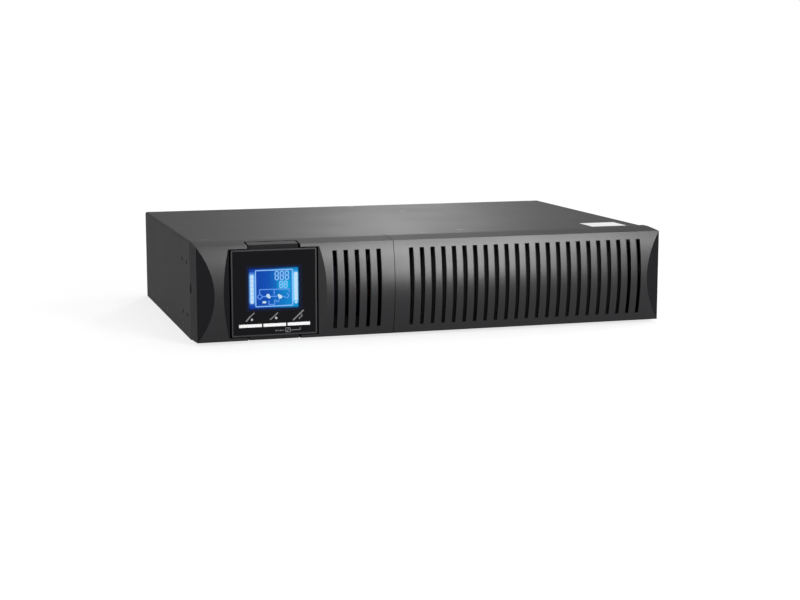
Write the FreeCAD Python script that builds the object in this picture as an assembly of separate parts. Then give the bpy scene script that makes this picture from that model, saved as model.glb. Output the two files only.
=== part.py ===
"""A 2U uninterruptible power supply for rack or tower: a steel case with a two-part moulded front,
a display module that pulls out, a battery tray behind the right front panel, and its sockets at the rear.

Millimetres. +X is to the right seen from the front, +Y runs from the front to the rear, +Z is up.
The origin is the centre of the footprint, on the surface that the case stands on.
"""
import FreeCAD, Part
import math
import os

from FreeCAD import Vector

# --- Overall size -------------------------------------------------------------------------------
unit_width = 438.0
unit_height = 88.0
body_depth = 310.0          # crest of the front panels to the rear sheet
rear_reach = 8.0            # what stands out behind the rear sheet, at most
sheet = 1.2                 # steel sheet of the case
seat_gap = 0.2              # clearance between folded sheets and between panels

# --- Front panels -------------------------------------------------------------------------------
panel_depth = 34.0          # from the panels' front edges back to the case
bulge = 6.5                 # how far the face arches forward between its top and bottom edges
panel_wall = 2.5
panel_rise = 0.8            # how far the panels' rear edge stands above the case
panel_level = 10.3          # level part of the panels' top, before it slopes down to the front
panel_foot = 0.6            # height of the panels' rear lower edge
front_top_drop = 1.2        # front upper edge, below the top of the case
front_foot = 2.9            # front lower edge, above the floor
end_bevel = 14.5            # width of the slanted facet at each outer end
left_panel_width = 177.3
panel_seam = 0.5
slot_pitch = 10.1
slot_width = 3.2
slot_low = 10.2             # lower end of the slots
slot_top_margin = 8.0       # upper end of the slots, below the top of the case
rib_round_left = 0.5        # rounding of each rib on its left edge
rib_round_right = 2.0       # and on its right edge, which falls away into the slot
left_slots_inset = 11.4     # last left slot's centre to the panel's right end, rounded up by the margin
left_slots_run = 40.4       # first to last slot centre on the left panel
right_slots_start = 16.2    # seam to the first slot's centre on the right panel
right_slots_end = 22.3      # last slot's centre to the right end
latch_width = 12.0
latch_thickness = 2.0
latch_reach = 5.5           # how far a latch goes in behind the case's front
latch_drop = 3.2            # latch's outer face from the top or bottom of the case
latch_root = 12.0           # how far a latch runs forward inside its panel
latch_slot_gap = 0.3        # round each latch in the front wall
latch_end_inset = 16.0      # first latch from the left end
latch_seam_inset = 14.0     # latches on both sides of the seam
latch_display_gap = 17.0    # module's side to the next latch
latch_bay_gap = 18.0
latch_right_inset = 22.0    # last latch from the right end
pry_notch_height = 9.0
pry_notch_depth = 7.0
pry_notch_rise = 2.5         # notch's centre above the middle of the case

# --- Display module -----------------------------------------------------------------------------
display_inset = 68.5        # module's centre from the left end of the front
display_rise = 0.8          # module's centre above the middle of the case
display_margin = 5.8        # module's edge to the case's top or bottom, on average
display_back_gap = 4.0      # module's back to the case
display_side_gap = 1.6
display_end_gap = 1.0
display_bevel = 6.3         # width of the facet between the face and the module's opening
display_wall = 1.8
display_rim = 1.2           # rim round the glossy overlay
overlay_thickness = 1.6
overlay_sink = 0.3          # overlay's face behind the rim
guide_wall = 1.5
guide_play = 0.3            # between the module and the ribs that guide it
grip_side = 16.0            # grips' ends to the module's sides
grip_gap = 1.6
grip_depth = 13.0
grip_sink = 1.5             # grip's face behind the panel's front edge
lens_side = 15.2            # window's edges to the module's sides, top and foot
lens_top_margin = 16.05
lens_foot_margin = 23.85
glass_margin = 3.0
glass_thickness = 2.2
light_thickness = 3.0
key_margin = 6.3            # outer keys' ends to the module's sides
key_height = 2.8
key_gap = 1.3               # between keys, most of it a bar of the overlay
key_rise = 9.3              # keys' centre above the module's foot
key_proud = 0.5
key_travel = 0.7
key_clearance = 0.25
key_shoulder = 1.0          # what stops a key behind the overlay
stem_radius = 1.4
switch_size = 6.0
switch_height = 3.4
board_thickness = 1.6

# --- Steel case ---------------------------------------------------------------------------------
side_flange = 14.0          # height of the floor pan's side flanges
lip_depth = 16.0            # fold at the top of the front wall
rear_lip = 12.0
cover_screw_inset = 14.0    # corner screws from the side of the case
cover_screw_back = 8.0      # front row of cover screws from the front of the case
screw_radius = 1.5
screw_head_radius = 2.9
screw_length = 3.6
screw_clearance = 0.15
drive_length = 3.4          # cross recess in a screw's head
drive_width = 0.6
cutout_gap = 0.2            # round each socket in the rear sheet
vent_margin = 4.0           # slots' ends beyond the openings behind them
lead_opening_width = 40.0   # for the display's lead
lead_opening_height = 24.0
lead_opening_gap = 8.0      # air openings to the bay wall
ear_hole_radius = 2.0
ear_first_y = 16.0          # first pair of rack ear holes from the front of the case
ear_pitch_y = 24.0
ear_low_z = 20.0            # lower holes above the floor, and upper ones below the top
nut_radius = 3.6
nut_depth = 3.0
cover_bend = 2.0            # rounding of the cover's long upper edges
label_length = 35.5
label_depth = 32.0
label_thickness = 0.15
label_side = 15.0           # label's edge from the right side of the case
label_front = 4.0          # and from the case's front

# --- Battery bay --------------------------------------------------------------------------------
bay_wall_inset = 174.3      # inner wall of the bay from the right side of the case
battery_length = 151.0
battery_headroom = 9.0      # top of the batteries to the top of the bay's opening
battery_run_margin = 122.0  # what the body's depth has beyond the heights of the batteries
battery_round = 2.0
battery_lid = 12.0
battery_groove = 1.2
battery_groove_depth = 0.8
battery_spacing = 14.0
battery_count = 2
tray_sheet = 1.0
tray_gap = 0.75             # round each battery
tray_float = 0.3            # under and beside the tray
tray_wall = 25.0
tray_flange_margin = 5.0
tray_step = 4.0             # height at which the tray passes over the front panel's lower edge
bay_opening_margin = 14.0   # top of the bay's opening, below the top of the case
bay_fold = 11.0             # folds at the bay wall's top and foot
bay_wall_gap = 2.0          # wall's rear edge to the outlets' body
bay_opening_side = 1.0      # opening's edges beyond the tray
bay_cover_front = 54.0      # screws into the bay wall's fold, from the rim and from the rear
bay_cover_rear = 69.5
battery_front_gap = 6.0     # case's front to the first battery
tray_vent_rise = 7.0        # lower ends of the flange's air openings, above the slots' ends
tray_vent_top = 15.0
tray_screw_inset = 12.0
tray_screw_rise = 2.5       # above the top of the bay's opening
tray_screw_reach = 6.0
pull_lip = 11.0
pull_lip_width = 80.0
terminal_inset = 15.5
terminal_height = 6.3
terminal_thickness = 0.8
terminal_length = 6.5
terminal_drop = 13.0        # terminals below the batteries' upper side
link_thickness = 1.0
lead_radius = 2.0
lead_spread = 4.0           # each lead to the line between the two
lead_clearance = 0.3        # above the batteries
lead_start = 3.0            # leads' ends below the middle of the terminals
lead_bend = 7.0             # how far before a corner the leads begin to turn
plug_width = 30.0
plug_height = 18.0
plug_depth = 14.0
plug_rise = 22.0
plug_round = 1.0
bracket_foot = 10.0
rail_height = 7.0
rail_foot = 7.0

# --- Power electronics --------------------------------------------------------------------------
post_height = 6.0
post_radius = 3.0
heatsink_height = 58.0
heatsink_width = 34.0
heatsink_margin = 55.3      # what the board's depth has beyond the heatsinks' length
heatsink_base = 5.0
heatsink_start = 14.0       # heatsinks' front end from the board's front edge
fin_pitch = 6.5
fin_thickness = 1.4
capacitor_radius = 15.0
capacitor_height = 50.0
capacitor_run_margin = 65.3 # what the board's depth has beyond the row of capacitors
capacitor_count = 4
capacitor_gap = 6.0
capacitor_rim = 1.5
capacitor_groove_z = 4.0
capacitor_groove_depth = 0.8
choke_radius = 15.0
choke_core = 7.0
transformer_gap = 34.0      # chokes to the transformer's middle
transformer_width = 48.0
transformer_height = 44.0
transformer_depth = 18.0
transformer_limb = 8.0
transformer_yoke = 7.0
transformer_middle = 12.0
winding_gap = 0.5
winding_overhang = 10.0
winding_round = 4.0
transistor_width = 16.0
transistor_height = 21.0
transistor_thickness = 5.0
transistor_leg = 6.0
transistor_leg_width = 1.2
transistor_leg_thickness = 0.8
transistor_leg_pitch = 5.4
transistor_count = 4
relay_length = 29.0
relay_width = 13.0
relay_height = 16.0
relay_gap = 5.0
control_start = 60.0
control_length = 120.0
control_height = 52.0
control_gap = 6.0
chip_thickness = 1.6
processor_size = 16.0
memory_length = 10.0
memory_width = 7.0
header_length = 20.0
header_width = 6.0
header_depth = 5.0
board_margin = 14.0         # power board to the bay wall
board_inset = 8.0
board_rear_gap = 30.0
post_inset = 8.0

# --- Fan ----------------------------------------------------------------------------------------
fan_margin = 4.0            # fan's edge to the top and bottom of the case
fan_depth = 25.0
fan_hole_margin = 8.5
fan_rim = 1.8               # frame's edge to its round opening
fan_corner = 4.0
fan_flange = 4.0
fan_plate = 2.5
fan_strut = 3.2
fan_tip_gap = 1.0
fan_hub = 18.0
fan_hub_wall = 1.5
blade_count = 7
blade_thickness = 1.2
shaft_radius = 1.5
shaft_clearance = 0.05
bearing_radius = 3.2
guard_wire = 0.8            # radius of the guard's wire
guard_pitch = 9.0
guard_eye = 2.9
pan_head_radius = 3.4
pan_head_height = 2.2

# --- Rear sockets -------------------------------------------------------------------------------
rear_margin = 9.0           # first and last fitting to the ends of the rear panel
inlet_z = 25.0
inlet_width = 27.6
inlet_height = 19.8
inlet_flange_width = 50.0
inlet_flange_height = 23.0
inlet_flange_thickness = 2.4
inlet_corner = 4.0
inlet_screw_pitch = 40.0
inlet_body_depth = 20.0
socket_width = 24.4
socket_height = 16.6
socket_corner = 4.6
socket_depth = 16.5
contact_spread = 7.0        # line and neutral contacts from the socket's middle
contact_drop = 2.0
contact_rise = 2.6          # earth contact above the socket's middle
blade_width = 2.0
blade_height = 4.0
blade_sink = 5.0            # blades' ends behind the inlet's face
blade_tail = 6.0            # tags behind the inlet's body
blade_round = 0.6
nut_thickness = 2.4
screw_tail = 2.6            # screws' ends behind their nuts
inlet_head_height = 1.8
breaker_top = 26.0          # breaker's axis below the top of the case
breaker_radius = 5.5
breaker_width = 14.0
breaker_height = 32.0
breaker_depth = 28.0
breaker_neck = 3.0          # neck's end behind the rear sheet's outer face
breaker_nut_radius = 8.5
breaker_nut_thickness = 2.2
button_radius = 3.6
button_reach = 5.0
button_travel = 4.0
button_sink = 7.7
button_clearance = 0.3
outlet_pitch_x = 30.0
outlet_pitch_z = 32.0
outlet_depth = 24.0
bank_face = 1.6
bank_flange = 2.0
bank_round = 2.0
moat_width = 27.0
moat_height = 20.0
moat_corner = 5.0
moat_gap = 2.9
moat_depth = 14.0
island_corner = 4.0
island_sink = 0.6
moat_margin = 1.0           # moat's edge to the edge of the outlets' block
contact_width = 2.4
contact_height = 4.8
contact_depth = 15.0
contact_length = 6.0
contact_clearance = 0.05
ports_z = 20.0
port_lead_in = 0.3          # round each port in the rear sheet
port_foot = 5.0
port_board_depth = 22.0
port_board_margin = 4.0
port_board_gap = 0.3        # port board to the rear sheet
port_foot_radius = 2.5
port_body_depth = 10.0      # small ports' bodies behind the rear sheet
port_foot_gap = 2.0
serial_width = 19.6
serial_height = 11.0
serial_flange_width = 31.0
serial_flange_height = 12.6
serial_flange_thickness = 0.8
serial_nut_pitch = 25.0
serial_shell_half = 8.6
serial_shell_height = 8.4
serial_shell_wall = 0.5
serial_reach = 6.0
serial_slant = 1.2
serial_pin_pitch = 2.77
serial_row_rise = 1.4
serial_pin_radius = 0.55
serial_corner = 1.5
serial_core_sink = 0.8
hex_radius = 2.7
hex_length = 4.8
hex_bore = 1.2
usb_width = 12.0
usb_height = 11.0
usb_mouth_width = 8.6
usb_mouth_height = 8.0
usb_mouth_corner = 1.8
usb_mouth_depth = 9.0
usb_tongue_width = 5.6
usb_tongue_height = 3.2
usb_depth = 14.0
port_proud = 1.0            # square ports' faces behind the rear sheet's outer face
stop_width = 12.4
stop_height = 10.4
stop_reach = 3.0
stop_pitch = 5.2
stop_hole = 3.4
stop_hole_drop = 2.0
stop_screw_rise = 2.8
stop_screw_radius = 1.6
stop_hole_depth = 6.0
stop_screw_depth = 4.0
jacks_width = 32.0
jacks_height = 15.0
jack_pitch = 15.6
jack_width = 11.8
jack_height = 8.4
jack_drop = 0.8
jack_depth = 12.5
jack_key_width = 6.2
jack_key_height = 1.2
jack_wire_pitch = 1.02
jack_wire_width = 0.4
jack_wire_height = 0.8
jack_wires = 8
jack_wire_sink = 3.5
jack_back = 3.5             # block's rear wall behind the jacks
card_top = 26.0             # middle of the blank covers below the top of the case
card_width = 62.0
card_height = 36.0
expansion_width = 46.0
expansion_height = 32.0
plate_thickness = 1.0
plate_round = 2.0
plate_overlap_x = 7.0
plate_overlap_z = 3.5
plate_screw_inset = 4.5
thumb_slot_width = 0.9
thumb_slot_depth = 1.2
thumb_collar = 1.6
thumb_tail = 4.0
thumb_radius = 3.8
thumb_flute = 0.4
thumb_flutes = 18
ground_z = 7.5
ground_radius = 2.0
ground_washer = 5.0
ground_washer_thickness = 1.0
ground_head_radius = 3.6
ground_head_height = 2.4
ground_nut_radius = 4.0
ground_nut_thickness = 3.0

# --- Places worked out from the sizes -----------------------------------------------------------
half_width = unit_width / 2
display_size = unit_height - 2 * display_margin
display_z = unit_height / 2 + display_rise
grip_width = display_size - 2 * grip_side
lens_width = display_size - 2 * lens_side
lens_height = display_size - lens_top_margin - lens_foot_margin
lens_rise = (lens_foot_margin - lens_top_margin) / 2
key_length = (display_size - 2 * key_margin - 2 * key_gap) / 3
key_drop = display_size / 2 - key_rise
pry_notch_z = unit_height / 2 + pry_notch_rise
ear_pitch_z = unit_height - 2 * ear_low_z
slot_height = unit_height - slot_top_margin - slot_low
bay_opening_height = unit_height - bay_opening_margin
battery_thickness = bay_opening_height - battery_headroom
battery_height = (body_depth - battery_run_margin) / 2
crest_y = -(body_depth + rear_reach) / 2
rim_y = crest_y + bulge
front_y = rim_y + panel_depth
rear_y = crest_y + body_depth
inner_x = half_width - sheet
pan_x = inner_x - seat_gap
roof_z = unit_height - sheet
pan_top = roof_z - seat_gap
rear_in = rear_y - sheet
mid_z = (front_foot + unit_height - front_top_drop) / 2
seam_x = -half_width + left_panel_width
display_x = -half_width + display_inset
display_front = rim_y - overlay_sink
display_depth = panel_depth - display_back_gap
bay_x = half_width - bay_wall_inset
tray_width = battery_length + 2 * (tray_gap + tray_sheet)
tray_x = (bay_x + sheet + inner_x) / 2
tray_floor = sheet + tray_float
battery_z = tray_floor + tray_sheet
battery_y = front_y + battery_front_gap
battery_run = battery_count * battery_height + (battery_count - 1) * battery_spacing
tray_back = battery_y + battery_run + tray_gap
board_z = sheet + post_height
board_top = board_z + board_thickness
board_depth = rear_in - fan_depth - board_rear_gap - front_y - board_inset
heatsink_length = board_depth - heatsink_margin
capacitor_pitch = (board_depth - capacitor_run_margin) / capacitor_count
fan_size = unit_height - 2 * fan_margin
fan_bore = fan_size / 2 - fan_rim
fan_hole_pitch = fan_size - fan_hole_margin
fan_z = unit_height / 2
bank_width = outlet_pitch_x + moat_width + 2 * moat_margin
bank_height = outlet_pitch_z + moat_height + 2 * moat_margin
fittings = [fan_size, inlet_flange_width, bank_width + 2 * bank_flange, bank_width + 2 * bank_flange,
            card_width, expansion_width]
rear_gap = (2 * (pan_x - rear_margin) - sum(fittings)) / (len(fittings) - 1)
fan_x, inlet_x, bank_left_x, bank_right_x, card_x, expansion_x = [
    -pan_x + rear_margin + sum(fittings[:i]) + i * rear_gap + fittings[i] / 2 for i in range(len(fittings))]
outlet_z = unit_height / 2
breaker_z = unit_height - breaker_top
card_z = unit_height - card_top
ports = [serial_flange_width, usb_width, stop_width, jacks_width]
ports_left = card_x - card_width / 2
port_gap = (expansion_x + expansion_width / 2 - ports_left - sum(ports)) / (len(ports) - 1)
serial_x, usb_x, stop_x, jacks_x = [ports_left + sum(ports[:i]) + i * port_gap + ports[i] / 2 for i in range(4)]
board_left = -pan_x + sheet + control_gap
board_right = bay_x - board_margin
rows = [heatsink_width + transistor_thickness, heatsink_width + transistor_thickness, 2 * capacitor_radius,
        transformer_width, board_thickness + header_depth]
row_gap = (board_right - board_left - sum(rows)) / (len(rows) + 1)
row_starts = [board_left + sum(rows[:i]) + (i + 1) * row_gap for i in range(len(rows))]
heatsink_x = [row_starts[i] + heatsink_width / 2 for i in (0, 1)]
capacitor_x = row_starts[2] + capacitor_radius
choke_x = row_starts[3] + transformer_width / 2
control_board_x = row_starts[4] + header_depth


# --- Shape helpers ------------------------------------------------------------------------------
def block(x0, x1, y0, y1, z0, z1):
    """A box between two corners."""
    return Part.makeBox(x1 - x0, y1 - y0, z1 - z0, Vector(x0, y0, z0))


def centred(x, z, width, height, y0, y1):
    """A box centred on x and z, between two depths."""
    return block(x - width / 2, x + width / 2, y0, y1, z - height / 2, z + height / 2)


def rod(radius, start, end):
    """A round bar between two points."""
    way = Vector(*end) - Vector(*start)
    return Part.makeCylinder(radius, way.Length, Vector(*start), way)


def tube(outer, inner, start, end):
    """A round tube between two points."""
    return rod(outer, start, end).cut(rod(inner, start, end))


def cone(radius_start, radius_end, start, end):
    """A cone frustum between two points."""
    way = Vector(*end) - Vector(*start)
    return Part.makeCone(radius_start, radius_end, way.Length, Vector(*start), way)


def plate(points, way):
    """A closed outline, given as points, pulled along a vector."""
    corners = [Vector(*p) for p in points]
    outline = Part.makePolygon(corners + [corners[0]])
    return Part.Face(outline).extrude(Vector(*way))


def joined(shapes):
    """One solid of several that touch or overlap."""
    whole = shapes[0].fuse(shapes[1:]) if len(shapes) > 1 else shapes[0]
    return whole.removeSplitter()


def without(shape, tools):
    """A shape with tools cut out of it."""
    return shape.cut(Part.makeCompound(tools))


def rounded(shape, radius, chosen):
    """A shape with the edges that chosen accepts rounded."""
    edges = [e for e in shape.Edges if chosen(e.BoundBox)]
    return shape.makeFillet(radius, edges)


def along_y(box):
    """True for an edge that runs along Y."""
    return box.YLength > 10 * max(box.XLength, box.ZLength, 0.01)


def cross_recess(x, z, y0, y1, length=drive_length):
    """The cross that a driver fits, cut along Y into a screw's head."""
    return [centred(x, z, length, drive_width, y0, y1), centred(x, z, drive_width, length, y0, y1)]


def hexagon(radius, x, z, y0, y1):
    """A six-sided bar along Y."""
    turns = [math.tau * i / 6 for i in range(6)]
    return plate([(x + radius * math.cos(t), y0, z + radius * math.sin(t)) for t in turns], (0, y1 - y0, 0))


def mirrored_x(shape):
    """The same shape on the other side of the centre plane."""
    return shape.mirror(Vector(0, 0, 0), Vector(1, 0, 0))


def save(name, *solids):
    """Writes one named piece, or a group of separate solids, to its STEP file."""
    found = [s for shape in solids for s in shape.Solids]
    shape = found[0] if len(found) == 1 else Part.makeCompound(found)
    shape.exportStep("parts/" + name + ".step")


def screw(place, way, head=screw_head_radius, length=screw_length):
    """A countersunk screw: place is the middle of its face, way points into the work."""
    face = Vector(*place)
    unit = Vector(*way)
    across = Vector(unit.z, unit.x, unit.y)
    body = joined([
        Part.makeCone(head, screw_radius, sheet, face, unit),
        Part.makeCylinder(screw_radius, length, face, unit),
    ])
    arms = []
    for turn in (0, 90):
        arm = Part.makeBox(head, head / 5, sheet / 2, Vector(-head / 2, -head / 10, 0))
        arm.Placement = FreeCAD.Placement(face, FreeCAD.Rotation(Vector(0, 0, 1), unit))
        arm.rotate(face, unit, turn)
        arms.append(arm)
    return without(body, arms)


def screw_seat(place, way, head=screw_head_radius, length=screw_length):
    """The hole that a countersunk screw sits in, with clearance all round."""
    face = Vector(*place)
    unit = Vector(*way)
    return Part.makeCompound([
        Part.makeCone(head + screw_clearance, screw_radius + screw_clearance, sheet, face, unit),
        Part.makeCylinder(screw_radius + screw_clearance, length + 1, face, unit),
    ])


# --- Where the fasteners and holes are ----------------------------------------------------------
def cover_screw_places():
    """Face centre and direction of every screw that holds the cover."""
    down = (0, 0, -1)
    corner = half_width - cover_screw_inset
    front_row = front_y + cover_screw_back
    rear_row = rear_in - rear_lip / 2
    places = [((x, front_row, unit_height), down) for x in (-corner, 0, corner)]
    places += [((x, rear_row, unit_height), down) for x in (-corner, 0, corner)]
    flange_x = bay_x - bay_fold / 2
    places += [((flange_x, y, unit_height), down) for y in (rim_y + bay_cover_front, rear_y - bay_cover_rear)]
    for side in (-1, 1):
        for share in (0.15, 0.5, 0.85):
            y = front_y + share * (rear_y - front_y)
            places.append(((side * half_width, y, side_flange / 2), (-side, 0, 0)))
    return places


def ear_places():
    """Y and Z of the four rack ear holes in each side."""
    first = front_y + ear_first_y
    return [(first + i * ear_pitch_y, ear_low_z + j * ear_pitch_z) for i in (0, 1) for j in (0, 1)]


def post_places():
    """X and Y of the posts under the power board."""
    x0, x1, y0, y1 = power_board_edges()
    inset = post_inset
    return [(x, y) for x in (x0 + inset, (x0 + x1) / 2, x1 - inset) for y in (y0 + inset, y1 - inset)]


def power_board_edges():
    """Left, right, front and rear edges of the power board."""
    y0 = front_y + board_inset
    return board_left, board_right, y0, y0 + board_depth


def latch_centres_left():
    """X of the latches on the left panel."""
    return [-half_width + latch_end_inset, display_x + display_size / 2 + latch_display_gap,
            seam_x - latch_seam_inset]


def latch_centres_right():
    """X of the upper latches on the right panel; the first two are below too."""
    return [seam_x + latch_seam_inset, bay_x - latch_bay_gap, half_width - latch_right_inset]


def slots(first, last):
    """Centres of the slots from first to last, at the slot pitch, spread evenly between the two."""
    count = int((last - first) / slot_pitch + 0.01) + 1
    start = (first + last - (count - 1) * slot_pitch) / 2
    return [start + i * slot_pitch for i in range(count)]


def left_slots():
    """Centres of the left panel's slots."""
    last = seam_x - left_slots_inset - 2.5
    return slots(last - left_slots_run, last)


def right_slots():
    """Centres of the right panel's slots."""
    return slots(seam_x + right_slots_start, half_width - right_slots_end)


# --- Front panels -------------------------------------------------------------------------------
def face_y(z):
    """Depth of the arched face at a height."""
    half = (unit_height - front_top_drop - front_foot) / 2
    radius = (half ** 2 + bulge ** 2) / (2 * bulge)
    return crest_y + radius - math.sqrt(radius ** 2 - (z - mid_z) ** 2)


def front_form(x0, x1, inset):
    """The front panels' outer form between two ends, drawn in by a wall all round but the rear."""
    rear = front_y - seat_gap + inset
    top = unit_height + panel_rise - inset
    foot = panel_foot + inset
    lower = Vector(x0 + inset, rim_y + inset, front_foot + inset)
    upper = Vector(x0 + inset, rim_y + inset, unit_height - front_top_drop - inset)
    crest = Vector(x0 + inset, crest_y + inset, mid_z)
    brow = Vector(x0 + inset, front_y - panel_level, top)
    rear_top = Vector(x0 + inset, rear, top)
    rear_foot = Vector(x0 + inset, rear, foot)
    outline = Part.Wire([
        Part.Arc(lower, crest, upper).toShape(),
        Part.LineSegment(upper, brow).toShape(),
        Part.LineSegment(brow, rear_top).toShape(),
        Part.LineSegment(rear_top, rear_foot).toShape(),
        Part.LineSegment(rear_foot, lower).toShape(),
    ])
    form = Part.Face(outline).extrude(Vector(x1 - x0 - 2 * inset, 0, 0))
    return without(form, [end_facet(inset), mirrored_x(end_facet(inset)), display_facets(inset)])


def end_facet(inset):
    """What the slanted facet at the left end takes off."""
    outer = -half_width + inset
    base = rim_y + inset
    reach = 2.0
    over = 5.0
    corners = [
        (outer, base, -1),
        (outer + end_bevel * reach, base - bulge * reach, -1),
        (outer - over, base - bulge * reach, -1),
        (outer - over, base, -1),
    ]
    return plate(corners, (0, 0, unit_height + 2))


def display_facets(inset):
    """What the two slanted facets beside the display take off, over the height of its opening."""
    half = display_size / 2 + display_side_gap + inset
    end = display_size / 2 + display_end_gap + inset
    base = rim_y + inset
    reach = 2.0
    z = display_z - end
    corners = [
        (display_x - half, base, z),
        (display_x - half - display_bevel * reach, base - bulge * reach, z),
        (display_x + half + display_bevel * reach, base - bulge * reach, z),
        (display_x + half, base, z),
    ]
    return plate(corners, (0, 0, 2 * end))


def cut_slots(panel, centres):
    """A panel with its ventilation slots, each rib rounded on both edges."""
    for x in centres:
        panel = panel.cut(centred(x, slot_low + slot_height / 2, slot_width, slot_height,
                                  crest_y - 1, rim_y + panel_wall + 3))
    for side, radius in ((-1, rib_round_right), (1, rib_round_left)):
        edges = [e for e in panel.Edges if on_rib(e, centres, side)]
        panel = panel.makeFillet(min(radius, panel_wall * 0.8), edges)
    return panel


def on_rib(edge, centres, side):
    """True for the long outer edge of a slot on the given side."""
    box = edge.BoundBox
    if box.ZLength < slot_height * 0.9 or box.XLength > 0.01 or box.YMin > crest_y + 0.5:
        return False
    return any(abs(box.XMin - x - side * slot_width / 2) < 0.01 for x in centres)


def latches(centres, heights):
    """Latches that reach back from a panel into the case, below its top and above its floor."""
    found = []
    inner = latch_drop + latch_thickness
    start = front_y - latch_root
    for x in centres:
        for top in heights:
            z0, z1 = (unit_height - inner, unit_height - latch_drop) if top else (latch_drop, inner)
            root0, root1 = (z0, unit_height - panel_wall / 2) if top else (front_foot, z1)
            half = latch_width / 2
            found.append(block(x - half, x + half, start, front_y + latch_reach, z0, z1))
            found.append(block(x - half, x + half, start, front_y - 1.0, root0, root1))
    return found


def pry_notch(side):
    """The notch in a panel's outer side that a finger or blade goes into to unclip it."""
    x = side * half_width
    middle = front_y - seat_gap
    hole = rod(pry_notch_height / 2, (x - 8, middle, pry_notch_z), (x + 8, middle, pry_notch_z))
    stretch = pry_notch_depth / (pry_notch_height / 2)
    grown = FreeCAD.Matrix()
    grown.scale(1, stretch, 1)
    hole.translate(Vector(0, -middle, 0))
    hole = hole.transformGeometry(grown)
    hole.translate(Vector(0, middle, 0))
    return hole


def front_panel_left():
    """The left front panel, with the display's guide, the grip notches and five slots."""
    x0, x1 = -half_width, seam_x - panel_seam / 2
    shell = front_form(x0, x1, 0).cut(front_form(x0, x1, panel_wall))
    half_x = display_size / 2 + display_side_gap
    half_z = display_size / 2 + display_end_gap
    guide_back = front_y - 3.0
    guide = centred(display_x, display_z, 2 * (half_x + guide_wall), 2 * (half_z + guide_wall),
                    rim_y + 0.2, guide_back)
    keep = front_form(x0, x1, 0)
    opening = centred(display_x, display_z, 2 * half_x, 2 * half_z, crest_y - 1, guide_back + 1)
    grip_half = grip_width / 2 + grip_gap
    notch = block(display_x - grip_half, display_x + grip_half, crest_y - 1,
                  rim_y + grip_sink + grip_depth + grip_gap, -1, unit_height + 2)
    ribs = guide_ribs(rim_y + 7.0, guide_back)
    walls = without(shell.fuse(guide.common(keep)), [opening, notch])
    panel = joined([walls] + ribs + latches(latch_centres_left(), (True, False)))
    return cut_slots(panel.cut(pry_notch(-1)), left_slots())


def guide_ribs(y0, y1):
    """Ribs inside the display's guide: two on each side wall, two above and two below."""
    play = display_size / 2 + guide_play
    wall_x = display_size / 2 + display_side_gap + 0.1
    wall_z = display_size / 2 + display_end_gap + 0.1
    along = display_size / 2 - 6.0
    found = []
    for i in (-1, 1):
        for j in (-1, 1):
            x0, x1 = sorted((display_x + i * play, display_x + i * wall_x))
            z = display_z + j * along
            found.append(block(x0, x1, y0, y1, z - 0.75, z + 0.75))
            z0, z1 = sorted((display_z + i * play, display_z + i * wall_z))
            x = display_x + j * (grip_width / 2 + grip_gap + 6.0)
            found.append(block(x - 0.75, x + 0.75, y0, y1, z0, z1))
    return found


def front_panel_right():
    """The right front panel, which unclips to reach the battery tray."""
    x0, x1 = seam_x + panel_seam / 2, half_width
    shell = front_form(x0, x1, 0).cut(front_form(x0, x1, panel_wall))
    centres = latch_centres_right()
    pieces = [shell] + latches(centres, (True,)) + latches(centres[:2], (False,))
    return cut_slots(without(joined(pieces), [pry_notch(1)]), right_slots())


# --- Display module -----------------------------------------------------------------------------
def display_back_y():
    """Rear of the display module's box."""
    return rim_y + display_depth


def key_row_z():
    """Height of the row of keys."""
    return display_z - key_drop


def key_centres():
    """X of the three keys."""
    step = key_length + key_gap
    return [display_x - step, display_x, display_x + step]


def overlay_span():
    """Front and rear depths of the glossy overlay."""
    return rim_y - 0.5 + overlay_sink, rim_y - 0.5 + overlay_sink + overlay_thickness


def lens_place():
    """X and Z of the middle of the display's lens."""
    return display_x, display_z + lens_rise


def glass_span():
    """Front and rear depths of the liquid crystal cell."""
    back = overlay_span()[1]
    return back, back + glass_thickness


def display_board_span():
    """Front and rear depths of the display's circuit board."""
    front = glass_span()[1] + light_thickness
    return front, front + board_thickness


def display_housing():
    """The module's box, open at the rear, with its rim and its grips."""
    front = rim_y - 0.5
    back = display_back_y()
    box = centred(display_x, display_z, display_size, display_size, front, back)
    box = rounded(box, 1.0, along_y)
    inside = display_size - 2 * display_wall
    hollow = centred(display_x, display_z, inside, inside, overlay_span()[1], back + 1)
    seat = display_size - 2 * display_rim
    recess = centred(display_x, display_z, seat, seat, front - 1, overlay_span()[1] + 0.01)
    return without(joined([box] + display_grips()), [hollow, recess])


def display_grips():
    """The module's two grips, flush with the slopes of the panel's top and foot."""
    inside = display_size / 2 - display_wall
    top_slope = (panel_rise + front_top_drop) / (front_y - panel_level - rim_y)
    foot_slope = (front_foot - panel_foot) / (front_y - seat_gap - rim_y)
    x = display_x - grip_width / 2
    y0 = rim_y + grip_sink
    y1 = y0 + grip_depth
    found = []
    for base, edge, slope in ((display_z + inside, unit_height - front_top_drop, top_slope),
                              (display_z - inside, front_foot, -foot_slope)):
        corners = [(x, y0, base), (x, y0, edge + slope * (y0 - rim_y)),
                   (x, y1, edge + slope * (y1 - rim_y)), (x, y1, base)]
        grip = plate(corners, (grip_width, 0, 0))
        found.append(rounded(grip, 0.8, lambda b: b.XLength > grip_width * 0.9))
    return found


def display_overlay():
    """The glossy front plate, with openings for the lens and the keys."""
    front, back = overlay_span()
    size = display_size - 2 * display_rim - 0.2
    body = centred(display_x, display_z, size, size, front, back)
    x, z = lens_place()
    openings = [centred(x, z, lens_width, lens_height, front - 1, back + 1)]
    for x in key_centres():
        openings.append(centred(x, key_row_z(), key_length + 2 * key_clearance,
                                key_height + 2 * key_clearance, front - 1, back + 1))
    return without(body, openings)


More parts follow.
